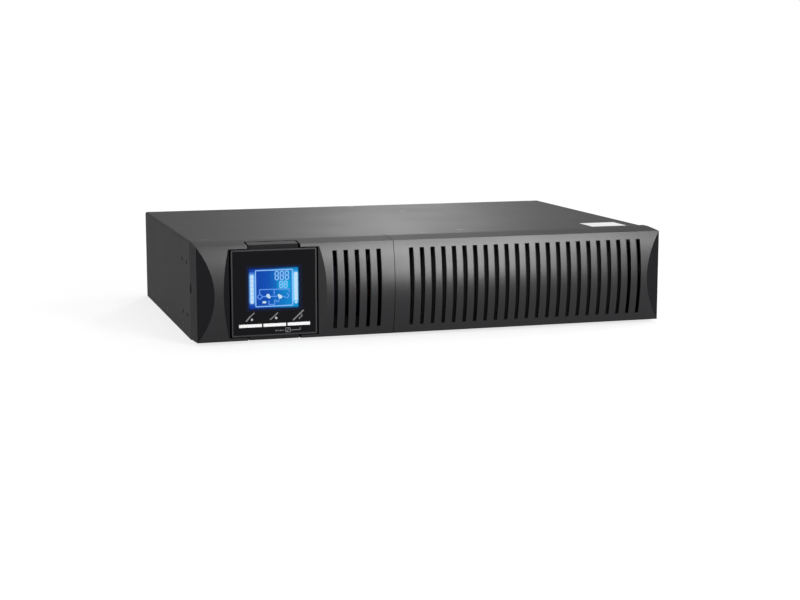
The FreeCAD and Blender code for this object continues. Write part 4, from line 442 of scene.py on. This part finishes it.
def plain(x):
    """A column of the face at a fixed place across."""
    return lambda z: (x, face_y(z))


def crease(x, width):
    """The curved line where a slanted facet that starts at x meets the arch."""
    return lambda z: (x + width * depth_share(z), face_y(z))


def flat(x, low=-1.0, high=1.0):
    """A column in the plane of the face's edges between two heights, and on the arch beyond."""
    return lambda z: (x, rim_y if low - SAME < z < high + SAME else face_y(z))


def rows(more=()):
    """Heights of the face's rows: evenly round the arch, and at every edge that must be met."""
    fixed = {face_low, face_high, slot_low, slot_high, slot_low - ledge, slot_high + ledge, *more}
    pry = [pry_z + pry_half * math.sin(math.radians(a)) for a in range(-90, 91, pry_step)]
    even = [face_low + (face_high - face_low) * i / arch_rows for i in range(arch_rows + 1)]
    free = [z for z in even if all(abs(z - met) > arch_row_gap for met in (*fixed, *pry))]
    return sorted({*fixed, *pry, *free})


def top_z(y):
    """Height of the panels' top at a depth: up from the front edge to the brow, then level."""
    return face_high + min((y - rim_y) / (brow_y - rim_y), 1.0) * (panel_top - face_high)


def foot_z(y):
    """Height of the panels' foot at a depth."""
    return face_low + (y - rim_y) / (panel_rear - rim_y) * (panel_foot - face_low)


def pry_cut(z):
    """How deep the round notch for prying cuts into the panel's rear edge at a height."""
    reach = 1 - ((z - pry_z) / pry_half) ** 2
    return pry_depth * math.sqrt(reach) if reach > 0 else 0.0


def panel_skin(columns, heights, holes, side, notches=()):
    """The outer skin of a front panel: arched face, top, foot and both ends, as one sheet.

    holes are (first column, last column, lowest, highest) of each opening in the face. notches are
    the column pairs where the top and the foot are cut back. side is the outer end, -1 or 1.
    """
    bm = bmesh.new()
    depths = (rim_y + notch_depth, brow_y, panel_rear)
    front = [[bm.verts.new((x, y, z)) for x, y in [column(z) for column in columns]]
             for z in heights]
    count = len(columns)
    for j, (low, high) in enumerate(zip(heights, heights[1:])):
        for i in range(count - 1):
            if not any(a <= i < b and low > z0 - SAME and high < z1 + SAME
                       for a, b, z0, z1 in holes):
                bm.faces.new((front[j][i], front[j][i + 1], front[j + 1][i + 1], front[j + 1][i]))
    for row, level, up in ((front[-1], top_z, True), (front[0], foot_z, False)):
        lines = [row] + [[bm.verts.new((v.co.x, y, level(y))) for v in row] for y in depths]
        for near, far in zip(lines, lines[1:]):
            for i in range(count - 1):
                if near is row and any(a <= i < b for a, b in notches):
                    continue
                quad = (near[i], near[i + 1], far[i + 1], far[i])
                bm.faces.new(quad if up else quad[::-1])
    for i, outer in ((0, side < 0), (count - 1, side > 0)):
        edge = [row[i] for row in front]
        lines = [edge]
        for y in depths:
            low, high = foot_z(y), top_z(y)
            line = []
            for v in edge:
                share = (v.co.z - face_low) / (face_high - face_low)
                cut = pry_cut(v.co.z) if outer and y == panel_rear else 0.0
                line.append(bm.verts.new((v.co.x, y - cut, low + share * (high - low))))
            lines.append(line)
        for near, far in zip(lines, lines[1:]):
            for j in range(len(edge) - 1):
                quad = (near[j], near[j + 1], far[j + 1], far[j])
                bm.faces.new(quad if i == 0 else quad[::-1])
    bmesh.ops.remove_doubles(bm, verts=bm.verts, dist=SAME)
    bmesh.ops.dissolve_degenerate(bm, dist=SAME / 10, edges=bm.edges)
    bmesh.ops.recalc_face_normals(bm, faces=bm.faces)
    return bm


def thicken(bm):
    """Gives the skin its wall, inwards."""
    mesh = from_bmesh("skin", bm)
    made = bpy.data.objects.new("skin", mesh)
    bpy.context.scene.collection.objects.link(made)
    wall = made.modifiers.new("wall", "SOLIDIFY")
    wall.thickness = panel_wall
    wall.offset = -1.0
    wall.use_even_offset = True
    wall.use_quality_normals = True
    seen = made.evaluated_get(bpy.context.evaluated_depsgraph_get())
    solid = bpy.data.meshes.new_from_object(seen)
    bpy.data.objects.remove(made)
    bpy.data.meshes.remove(mesh)
    result = bmesh.new()
    result.from_mesh(solid)
    bpy.data.meshes.remove(solid)
    return result


def round_ribs(bm, centres):
    """Rounds both outer edges of every slot: the right-hand edge of each rib falls away further."""
    for v in bm.verts:
        x, y, z = v.co
        if not slot_low - SAME < z < slot_high + SAME or abs(y - face_y(z)) > 2 * SAME:
            continue
        nearest = min(max(round((x - centres[0]) / slot_pitch), 0), len(centres) - 1)
        away = x - centres[nearest]
        if away > 0:
            width, drop = rib_round_left, rib_round_left
        else:
            width, drop = rib_round_right, rib_drop_right
        along = 1 - (abs(away) - slot_width / 2) / width
        if 0 < along < 1.001:  # the slot's own edge is at 1, to within its rounding
            v.co.y += drop * (1 - math.sqrt(max(1 - along ** 2, 0.0)))


def slot_centres(last, count):
    """Centres of a run of slots that ends at last."""
    return [last - (count - 1 - i) * slot_pitch for i in range(count)]


def slot_columns(centres):
    """Both edges of every slot, and the columns over which the ribs beside it are rounded."""
    found = []
    for x in centres:
        near, far = x - slot_width / 2, x + slot_width / 2
        found.append(near - rib_round_right - rib_hold)
        found += [near - rib_round_right * (1 - turn) for turn in round_right]
        found += [near, far]
        found += [far + rib_round_left * (1 - turn) for turn in round_left]
        found.append(far + rib_round_left + rib_hold)
    return [plain(x) for x in found]


def slot_holes(start, centres):
    """The slots' openings, whose columns begin at start."""
    edges = [start + slot_span * i + slot_lead for i in range(len(centres))]
    return [(edge, edge + 1, slot_low, slot_high) for edge in edges]


def add_latches(bm, places, heights):
    """Adds the latches that reach back into the case, at the top where a height is true."""
    inner = latch_inset + latch_thickness
    front, rear = case_front - latch_fore, case_front + latch_reach
    root = case_front - latch_root_gap
    for x in places:
        x0, x1 = x - latch_half, x + latch_half
        for top in heights:
            if top:
                z0, z1 = case_top - inner, case_top - latch_inset
                root0, root1 = z0, panel_top - panel_wall / 2
            else:
                z0, z1 = latch_inset, inner
                root0, root1 = panel_foot + panel_wall / 2, z1
            add_box(bm, (x0, front, z0), (x1, rear, z1))
            add_box(bm, (x0, front, root0), (x1, root, root1))


def finish_edges(made):
    """Gives the level top the case's finish, and the other tops and feet and the ends behind the
    rim a coarser one. The rounding that turns away to the right also takes the coarser, duller
    finish, as painted shade that darkens it as it turns. The slots' sides and the slanted facets
    take the darker facet plastic, painted shade that keeps them dark. The facet to the right of the
    display stays smooth."""
    level, steep, edge_on, sideways = 0.9, 0.7, 0.3, 0.8
    facet_right, facet_left, rounding_shade_turn = 0.25, -0.3, 0.45
    coarse, case, matt = 1, 2, 3
    for material in (textured, powder, facet):
        made.data.materials.append(material)
    for face in made.data.polygons:
        place, way = face.center, face.normal
        at_end = abs(place.x) > half_width - end_bevel
        from_display = abs(place.x - display_x)
        at_display = from_display < display_half + display_side_gap + display_bevel
        if place.y > brow_y and way.z > level:
            face.material_index = case
        elif abs(way.z) > steep or (place.y > rim_y and abs(way.y) < edge_on):
            face.material_index = coarse
        # painted shade: the slots' sides and the slanted facets take the darker facet plastic
        elif abs(way.x) > sideways or (way.x > facet_right and (at_end or at_display)):
            face.material_index = matt
        elif way.x < facet_left and at_end:
            face.material_index = matt
        # painted shade: a rib's right-hand rounding takes the duller coarse finish once it turns
        # away
        elif way.x > rounding_shade_turn:
            face.material_index = coarse


def front_right():
    """The right front panel."""
    x0, x1 = right_low[0], half_width
    centres = slot_centres(half_width - last_slot_to_end, right_slots)
    columns = [plain(x0)] + slot_columns(centres) + [crease(x1, -end_bevel), flat(x1)]
    bm = thicken(panel_skin(columns, rows(), slot_holes(1, centres), 1))
    round_ribs(bm, centres)
    bay_wall_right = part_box("bay_wall")[1][0]
    inner = [seam_left + latch_to_seam, bay_wall_right - latch_to_wall]
    add_latches(bm, [*inner, half_width - latch_to_right_end], (True,))
    add_latches(bm, inner, (False,))
    made = finish_piece("front_right", from_bmesh("front_right", bm), plastic, "front_cover")
    finish_edges(made)
    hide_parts("front_panel_right")


def front_left():
    """The left front panel with the display's opening and the notches for its grips."""
    x0, x1 = -half_width, seam_left
    centres = slot_centres(seam_left - last_slot_to_seam, left_slots)
    gap = display_half + display_side_gap
    low = display_z - display_half - display_end_gap
    high = display_z + display_half + display_end_gap
    inner = [flat(display_x + at, low, high) for at in (-gap, -notch_half, notch_half, gap)]
    before = [flat(x0), crease(x0, end_bevel), crease(display_x - gap, -display_bevel), *inner,
              crease(display_x + gap, display_bevel)]
    columns = before + slot_columns(centres) + [plain(x1)]
    opening, notch = (3, 6), (4, 5)
    holes = [(*opening, low, high), (*notch, face_low, face_high)]
    holes += slot_holes(len(before), centres)
    heights = rows((low, high, low - ledge, high + ledge))
    bm = thicken(panel_skin(columns, heights, holes, -1, notches=[notch]))
    round_ribs(bm, centres)
    places = [-half_width + latch_to_left_end, display_x + display_half + latch_to_display,
              seam_left - latch_to_seam]
    add_latches(bm, places, (True, False))
    made = finish_piece("front_left", from_bmesh("front_left", bm), plastic, "case")
    finish_edges(made)
    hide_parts("front_panel_left")
    return gap, display_half + display_end_gap


def display_guide(half_x, half_z):
    """The tube behind the opening that the display module slides in, with its ribs."""
    bm = bmesh.new()
    wall_front, rear = rim_y + panel_wall - guide_overlap, case_front - guide_end
    side_front, rib_front = rim_y + guide_lead, rim_y + guide_rib_lead
    cut = rim_y + notch_depth
    play = display_half + guide_play
    reach = half_x + guide_wall
    for side in (-1, 1):
        x_low, x_high = sorted((display_x + side * half_x, display_x + side * reach))
        add_box(bm, (x_low, side_front, display_z - half_z), (x_high, rear, display_z + half_z))
        z_low, z_high = sorted((display_z + side * half_z,
                                display_z + side * (half_z + guide_wall)))
        for a, b in ((-reach, -notch_half), (notch_half, reach)):
            add_box(bm, (display_x + a, wall_front, z_low), (display_x + b, cut, z_high))
        add_box(bm, (display_x - reach, cut, z_low), (display_x + reach, rear, z_high))
        for along in (-1, 1):
            a, b = sorted((display_x + side * play, display_x + side * half_x))
            z = display_z + along * (display_half - guide_rib_inset)
            add_box(bm, (a, rib_front, z - guide_rib_half), (b, rear, z + guide_rib_half))
            a, b = sorted((display_z + side * play, display_z + side * half_z))
            x = display_x + along * (notch_half + guide_rib_inset)
            add_box(bm, (x - guide_rib_half, rib_front, a), (x + guide_rib_half, rear, b))
    finish_piece("display_guide", from_bmesh("display_guide", bm), inner_plastic, "case",
                 smooth=False)


front_right()
display_guide(*front_left())


# --- CAD nodes that keep their shape ------------------------------------------------------------
finishes = {
    powder: ["base_pan", "top_cover", "rear_panel", "slot_covers", "battery_tray"],
    steel: ["bay_wall", "tray_rails", "ear_nuts", "tray_screws", "board_screws",
            "display_screws", "rear_screws"],
    dark_screw: ["cover_screws", "thumbscrews"],
    nickel: ["fan_guard", "serial_port", "usb_port"],
    brass: ["board_posts"],
    tin: ["socket_contacts", "battery_terminals"],
    aluminium: ["heatsinks"],
    ferrite: ["transformer_core"],
    copper: ["chokes", "fan_stator"],
    tape: ["transformer_winding"],
    board_green: ["display_board", "small_boards", "power_board"],
    black: ["display_back", "key_switches", "power_transistors", "control_chips", "fan_frame",
            "fan_rotor", "power_inlet", "breaker_body", "outlet_banks", "network_jacks"],
    rim_plastic: ["display_housing"],
    gloss_black: ["display_overlay"],
    lens_clear: ["display_lens"],
    lit_cell: ["display_glass"],
    white_key: ["key_left", "key_middle", "key_right", "display_light"],
    battery_grey: ["batteries"],
    red_sleeve: ["battery_leads"],
    plug_grey: ["tray_plug", "bay_plug"],
    shrink: ["bus_capacitors"],
    relay_blue: ["relays"],
    red_button: ["breaker_button"],
    green: ["stop_terminal"],
    paper: ["top_label"],
}
for material, names in finishes.items():
    for name in names:
        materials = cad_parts[name].data.materials
        materials.clear()
        materials.append(material)


def finish_grips():
    """Gives the display module's grips and sides the coarser finish of the panels' edges."""
    edge_on = 0.3
    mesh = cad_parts["display_housing"].data
    mesh.materials.append(textured)
    for face in mesh.polygons:
        if abs(face.center.z - display_z) > display_half or abs(face.normal.y) < edge_on:
            face.material_index = 1


finish_grips()


# --- Display graphics: places, widths and heights in millimetres from the module's centre -------
def display_point(x_mm, z_mm):
    """A place on the display."""
    return display_x + x_mm * MM, display_z + z_mm * MM


def strokes(name, shapes, y, material, raised_mm=0.05):
    """Flat raised marks on the display module. Each shape is a closed outline of points."""
    bm = bmesh.new()
    for outline in shapes:
        face = bm.faces.new([bm.verts.new((x, y, z)) for x, z in outline])
        grown = bmesh.ops.extrude_face_region(bm, geom=[face])
        for v in [g for g in grown["geom"] if isinstance(g, bmesh.types.BMVert)]:
            v.co.y -= raised_mm * MM
    bmesh.ops.recalc_face_normals(bm, faces=bm.faces)
    finish_piece(name, from_bmesh(name, bm), material, "display", smooth=False)


def bar(x0, z0, x1, z1, width):
    """The outline of a straight stroke."""
    a, b = Vector(display_point(x0, z0)), Vector(display_point(x1, z1))
    way = (b - a).normalized()
    side = Vector((-way.y, way.x)) * width * MM / 2
    return [tuple(p) for p in (a + side, a - side, b - side, b + side)]


def frame_line(x0, z0, x1, z1, width):
    """Four strokes round a rectangle."""
    return [bar(x0, z0, x1, z0, width), bar(x1, z0, x1, z1, width), bar(x1, z1, x0, z1, width),
            bar(x0, z1, x0, z0, width)]


def dot(x, z, radius):
    """The outline of a disc."""
    sides = 14
    turns = [math.tau * i / sides for i in range(sides)]
    return [display_point(x + radius * math.cos(a), z + radius * math.sin(a)) for a in turns]


def digit_eight(x, z, width, height, line):
    """The seven lit segments of a figure 8, its lower left corner at x, z."""
    gap = line * 0.30  # at each end of a segment
    left, right = x + line / 2, x + width - line / 2
    low, middle, high = z + line / 2, z + height / 2, z + height - line / 2
    found = [bar(left + gap, level, right - gap, level, line) for level in (low, middle, high)]
    for side in (left, right):
        found.append(bar(side, low + gap, side, middle - gap, line))
        found.append(bar(side, middle + gap, side, high - gap, line))
    return found


def graph(x, z0, z1, width, count):
    """A column of level bars."""
    step = (z1 - z0) / count
    height = step * 0.90  # leaves a fine dark line between the bars
    middles = [z0 + (i + 0.5) * step for i in range(count)]
    return [bar(x - width / 2, z, x + width / 2, z, height) for z in middles]


def path(points, width):
    """Strokes along a line of points."""
    return [bar(*a, *b, width) for a, b in zip(points, points[1:])]


def draw_screen():
    """Everything that the lit display shows: a frame, figures, level columns and a flow diagram."""
    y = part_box("display_glass")[0][1] - 0.02 * MM
    pale = frame_line(-16.3, -12.4, 16.8, 19.5, 0.9)
    for i in range(3):
        pale += digit_eight(0.8 + 4.55 * i, 10.3, 3.75, 8.3, 0.95)
    for i in range(2):
        pale += digit_eight(4.8 + 4.0 * i, 3.2, 3.5, 6.5, 0.85)
    white = graph(graph_left_mm, -9.6, 15.8, 2.7, 7) + graph(graph_right_mm, -8.2, 17.0, 2.9, 7)
    for x, z, radius in ((graph_right_mm, -9.9, 1.1), (-5.3, -3.1, 1.7), (-4.2, -4.4, 1.2),
                         (5.6, -4.4, 1.7), (4.4, -3.1, 1.1)):
        white += [dot(x, z, radius)]
    white += [bar(-10.3, -8.7, -7.1, -8.7, 1.9)]
    lines = (
        ((-12.9, -1.6), (-12.9, 2.6), (13.9, 2.3), (13.9, -0.8)),
        ((0.2, 2.2), (0.2, -2.4)),
        ((-15.0, -3.7), (-12.6, -1.3), (-10.2, -3.7), (-12.6, -6.1), (-15.0, -3.7)),
        ((-10.2, -3.7), (-6.6, -3.6)),
        ((-2.9, -3.7), (2.9, -3.9)),
        ((7.0, -4.0), (12.4, -5.6), (13.6, -3.2), (11.6, -1.6)),
        ((-4.6, -7.4), (-4.6, -11.0), (0.6, -11.0), (0.6, -7.0), (3.6, -9.0), (5.0, -6.0)),
    )
    blue = [stroke for points in lines for stroke in path(points, 0.8)]
    strokes("lit_segments", white, y, lit_white)
    strokes("lit_figures", pale, y, lit_pale)
    strokes("lit_outlines", blue, y + 0.01 * MM, lit_blue)


def print_overlay():
    """The symbols printed above and below the keys."""
    y = overlay_low[1]
    lines = (
        (1.3, ((-25.6, -24.9), (-21.4, -20.2))),
        (1.0, ((-21.4, -20.2), (-18.0, -17.5))),
        (1.0, ((-4.2, -24.2), (-1.0, -21.8), (3.0, -18.1))),
        (1.3, ((16.6, -25.6), (26.2, -16.8))),
        (1.0, ((21.8, -24.6), (24.9, -21.7), (23.8, -20.4))),
        (0.6, ((10.7, -35.0), (12.9, -33.0))),
        (0.6, ((14.3, -34.2), (23.0, -34.2), (23.0, -32.2))),
    )
    grey = [stroke for width, points in lines for stroke in path(points, width)]
    grey += frame_line(9.7, -35.7, 13.9, -32.2, 0.6)
    for i in range(4):
        grey += [bar(0.6 + 2.0 * i, -34.1, 1.9 + 2.0 * i, -34.1, 1.1 - 0.3 * (i % 2))]
    strokes("key_symbols", grey, y, grey_print, raised_mm=0.03)
    dots = [dot(-20.3, -23.5, 1.0), dot(1.4, -22.9, 1.1)]
    strokes("key_dots", dots, y, pale_print, raised_mm=0.04)


draw_screen()
print_overlay()


# --- Floor, light and camera --------------------------------------------------------------------
def seen_directly(tree):
    """1 for rays from the camera, and for mirror and see-through rays; 0 for light on surfaces."""
    ray = node(tree, "ShaderNodeLightPath").outputs
    either = reckon(tree, "MAXIMUM", ray["Is Camera Ray"], ray["Is Glossy Ray"])
    return reckon(tree, "MAXIMUM", either, ray["Is Transmission Ray"])


def floor():
    """A white floor that keeps the object's shadow and fades into the white background."""
    reach, sides = 1.6, 64
    fade_from, fade_to = 0.26, 0.80     # distances from the middle, in metres
    least_glow, white_glow = 0.72, 1.03
    turns = [math.tau * i / sides for i in range(sides)]
    mesh = bpy.data.meshes.new("floor")
    ring = [(reach * math.cos(a), reach * math.sin(a), 0) for a in turns]
    mesh.from_pydata(ring, [], [tuple(range(sides))])
    made = bpy.data.objects.new("floor", mesh)
    bpy.context.scene.collection.objects.link(made)
    white, tree, matt = new_material("white floor")
    set_inputs(matt, Base_Color=(0.93, 0.93, 0.93, 1), Roughness=1.0, Specular_IOR_Level=0.0)
    away = node(tree, "ShaderNodeVectorMath", {0: object_place(tree)}, operation="LENGTH")
    fade = node(tree, "ShaderNodeMapRange",
                {"Value": away.outputs["Value"], "From Min": fade_from, "From Max": fade_to,
                 "To Min": least_glow, "To Max": 1.0}, interpolation_type="SMOOTHSTEP").outputs[0]
    share = reckon(tree, "MULTIPLY", fade, seen_directly(tree))
    glowing = node(tree, "ShaderNodeEmission", {"Strength": white_glow}).outputs[0]
    mixed = node(tree, "ShaderNodeMixShader", {0: share, 1: matt.outputs[0], 2: glowing})
    tree.links.new(mixed.outputs[0], tree.nodes["Material Output"].inputs["Surface"])
    mesh.materials.append(white)


def studio():
    """White all round to the eye, and a plain soft light on surfaces."""
    world = bpy.data.worlds.new("studio")
    world.use_nodes = True
    tree = world.node_tree
    strength = node(tree, "ShaderNodeMapRange", {"Value": seen_directly(tree), "To Min": 0.25,
                                                 "To Max": 1.0}).outputs[0]
    backdrop = tree.nodes["Background"].inputs
    backdrop["Color"].default_value = (1, 1, 1, 1)
    tree.links.new(strength, backdrop["Strength"])
    bpy.context.scene.world = world


def area_light(name, place, target, size, watts):
    """A soft white light that faces a point and doesn't show itself."""
    data = bpy.data.lights.new(name, "AREA")
    data.shape = "RECTANGLE"
    data.size, data.size_y = size
    data.energy = watts
    made = bpy.data.objects.new(name, data)
    bpy.context.scene.collection.objects.link(made)
    made.location = place
    made.rotation_euler = (Vector(target) - Vector(place)).to_track_quat("-Z", "Y").to_euler()
    made.visible_camera = False


def camera(place, forward, lens):
    """The main camera: in front of the object, to its left and a little above it."""
    data = bpy.data.cameras.new("camera")
    data.lens = lens
    data.sensor_width = 36.0
    data.clip_end = 60
    made = bpy.data.objects.new("camera", data)
    bpy.context.scene.collection.objects.link(made)
    made.location = place
    made.rotation_euler = Vector(forward).to_track_quat("-Z", "Y").to_euler()
    bpy.context.scene.camera = made


floor()
studio()
area_light("front softbox", (0.53, -1.50, 0.62), (0.04, -0.15, 0.05), (0.66, 0.38), 19.0)
area_light("front fill", (0.49, -1.50, 0.195), (0.0, -0.15, 0.05), (0.10, 0.27), 7.5)
area_light("back softbox", (0.45, 1.45, 0.75), (0.05, 0.0, 0.08), (0.20, 0.40), 10.5)
area_light("overhead", (0.0, 0.2, 1.9), (0.0, 0.0, 0.0), (1.6, 1.6), 15.0)
area_light("left softbox", (-1.45, -0.45, 0.45), (-0.2, 0.0, 0.05), (0.5, 0.5), 8.0)
area_light("right softbox", (1.5, 0.3, 0.6), (0.2, 0.0, 0.05), (0.5, 0.5), 8.0)
bpy.context.scene.view_settings.view_transform = "Standard"
camera((-0.4518, -1.5142, 0.2564), (0.28896, 0.94467, -0.15525), 72.2)
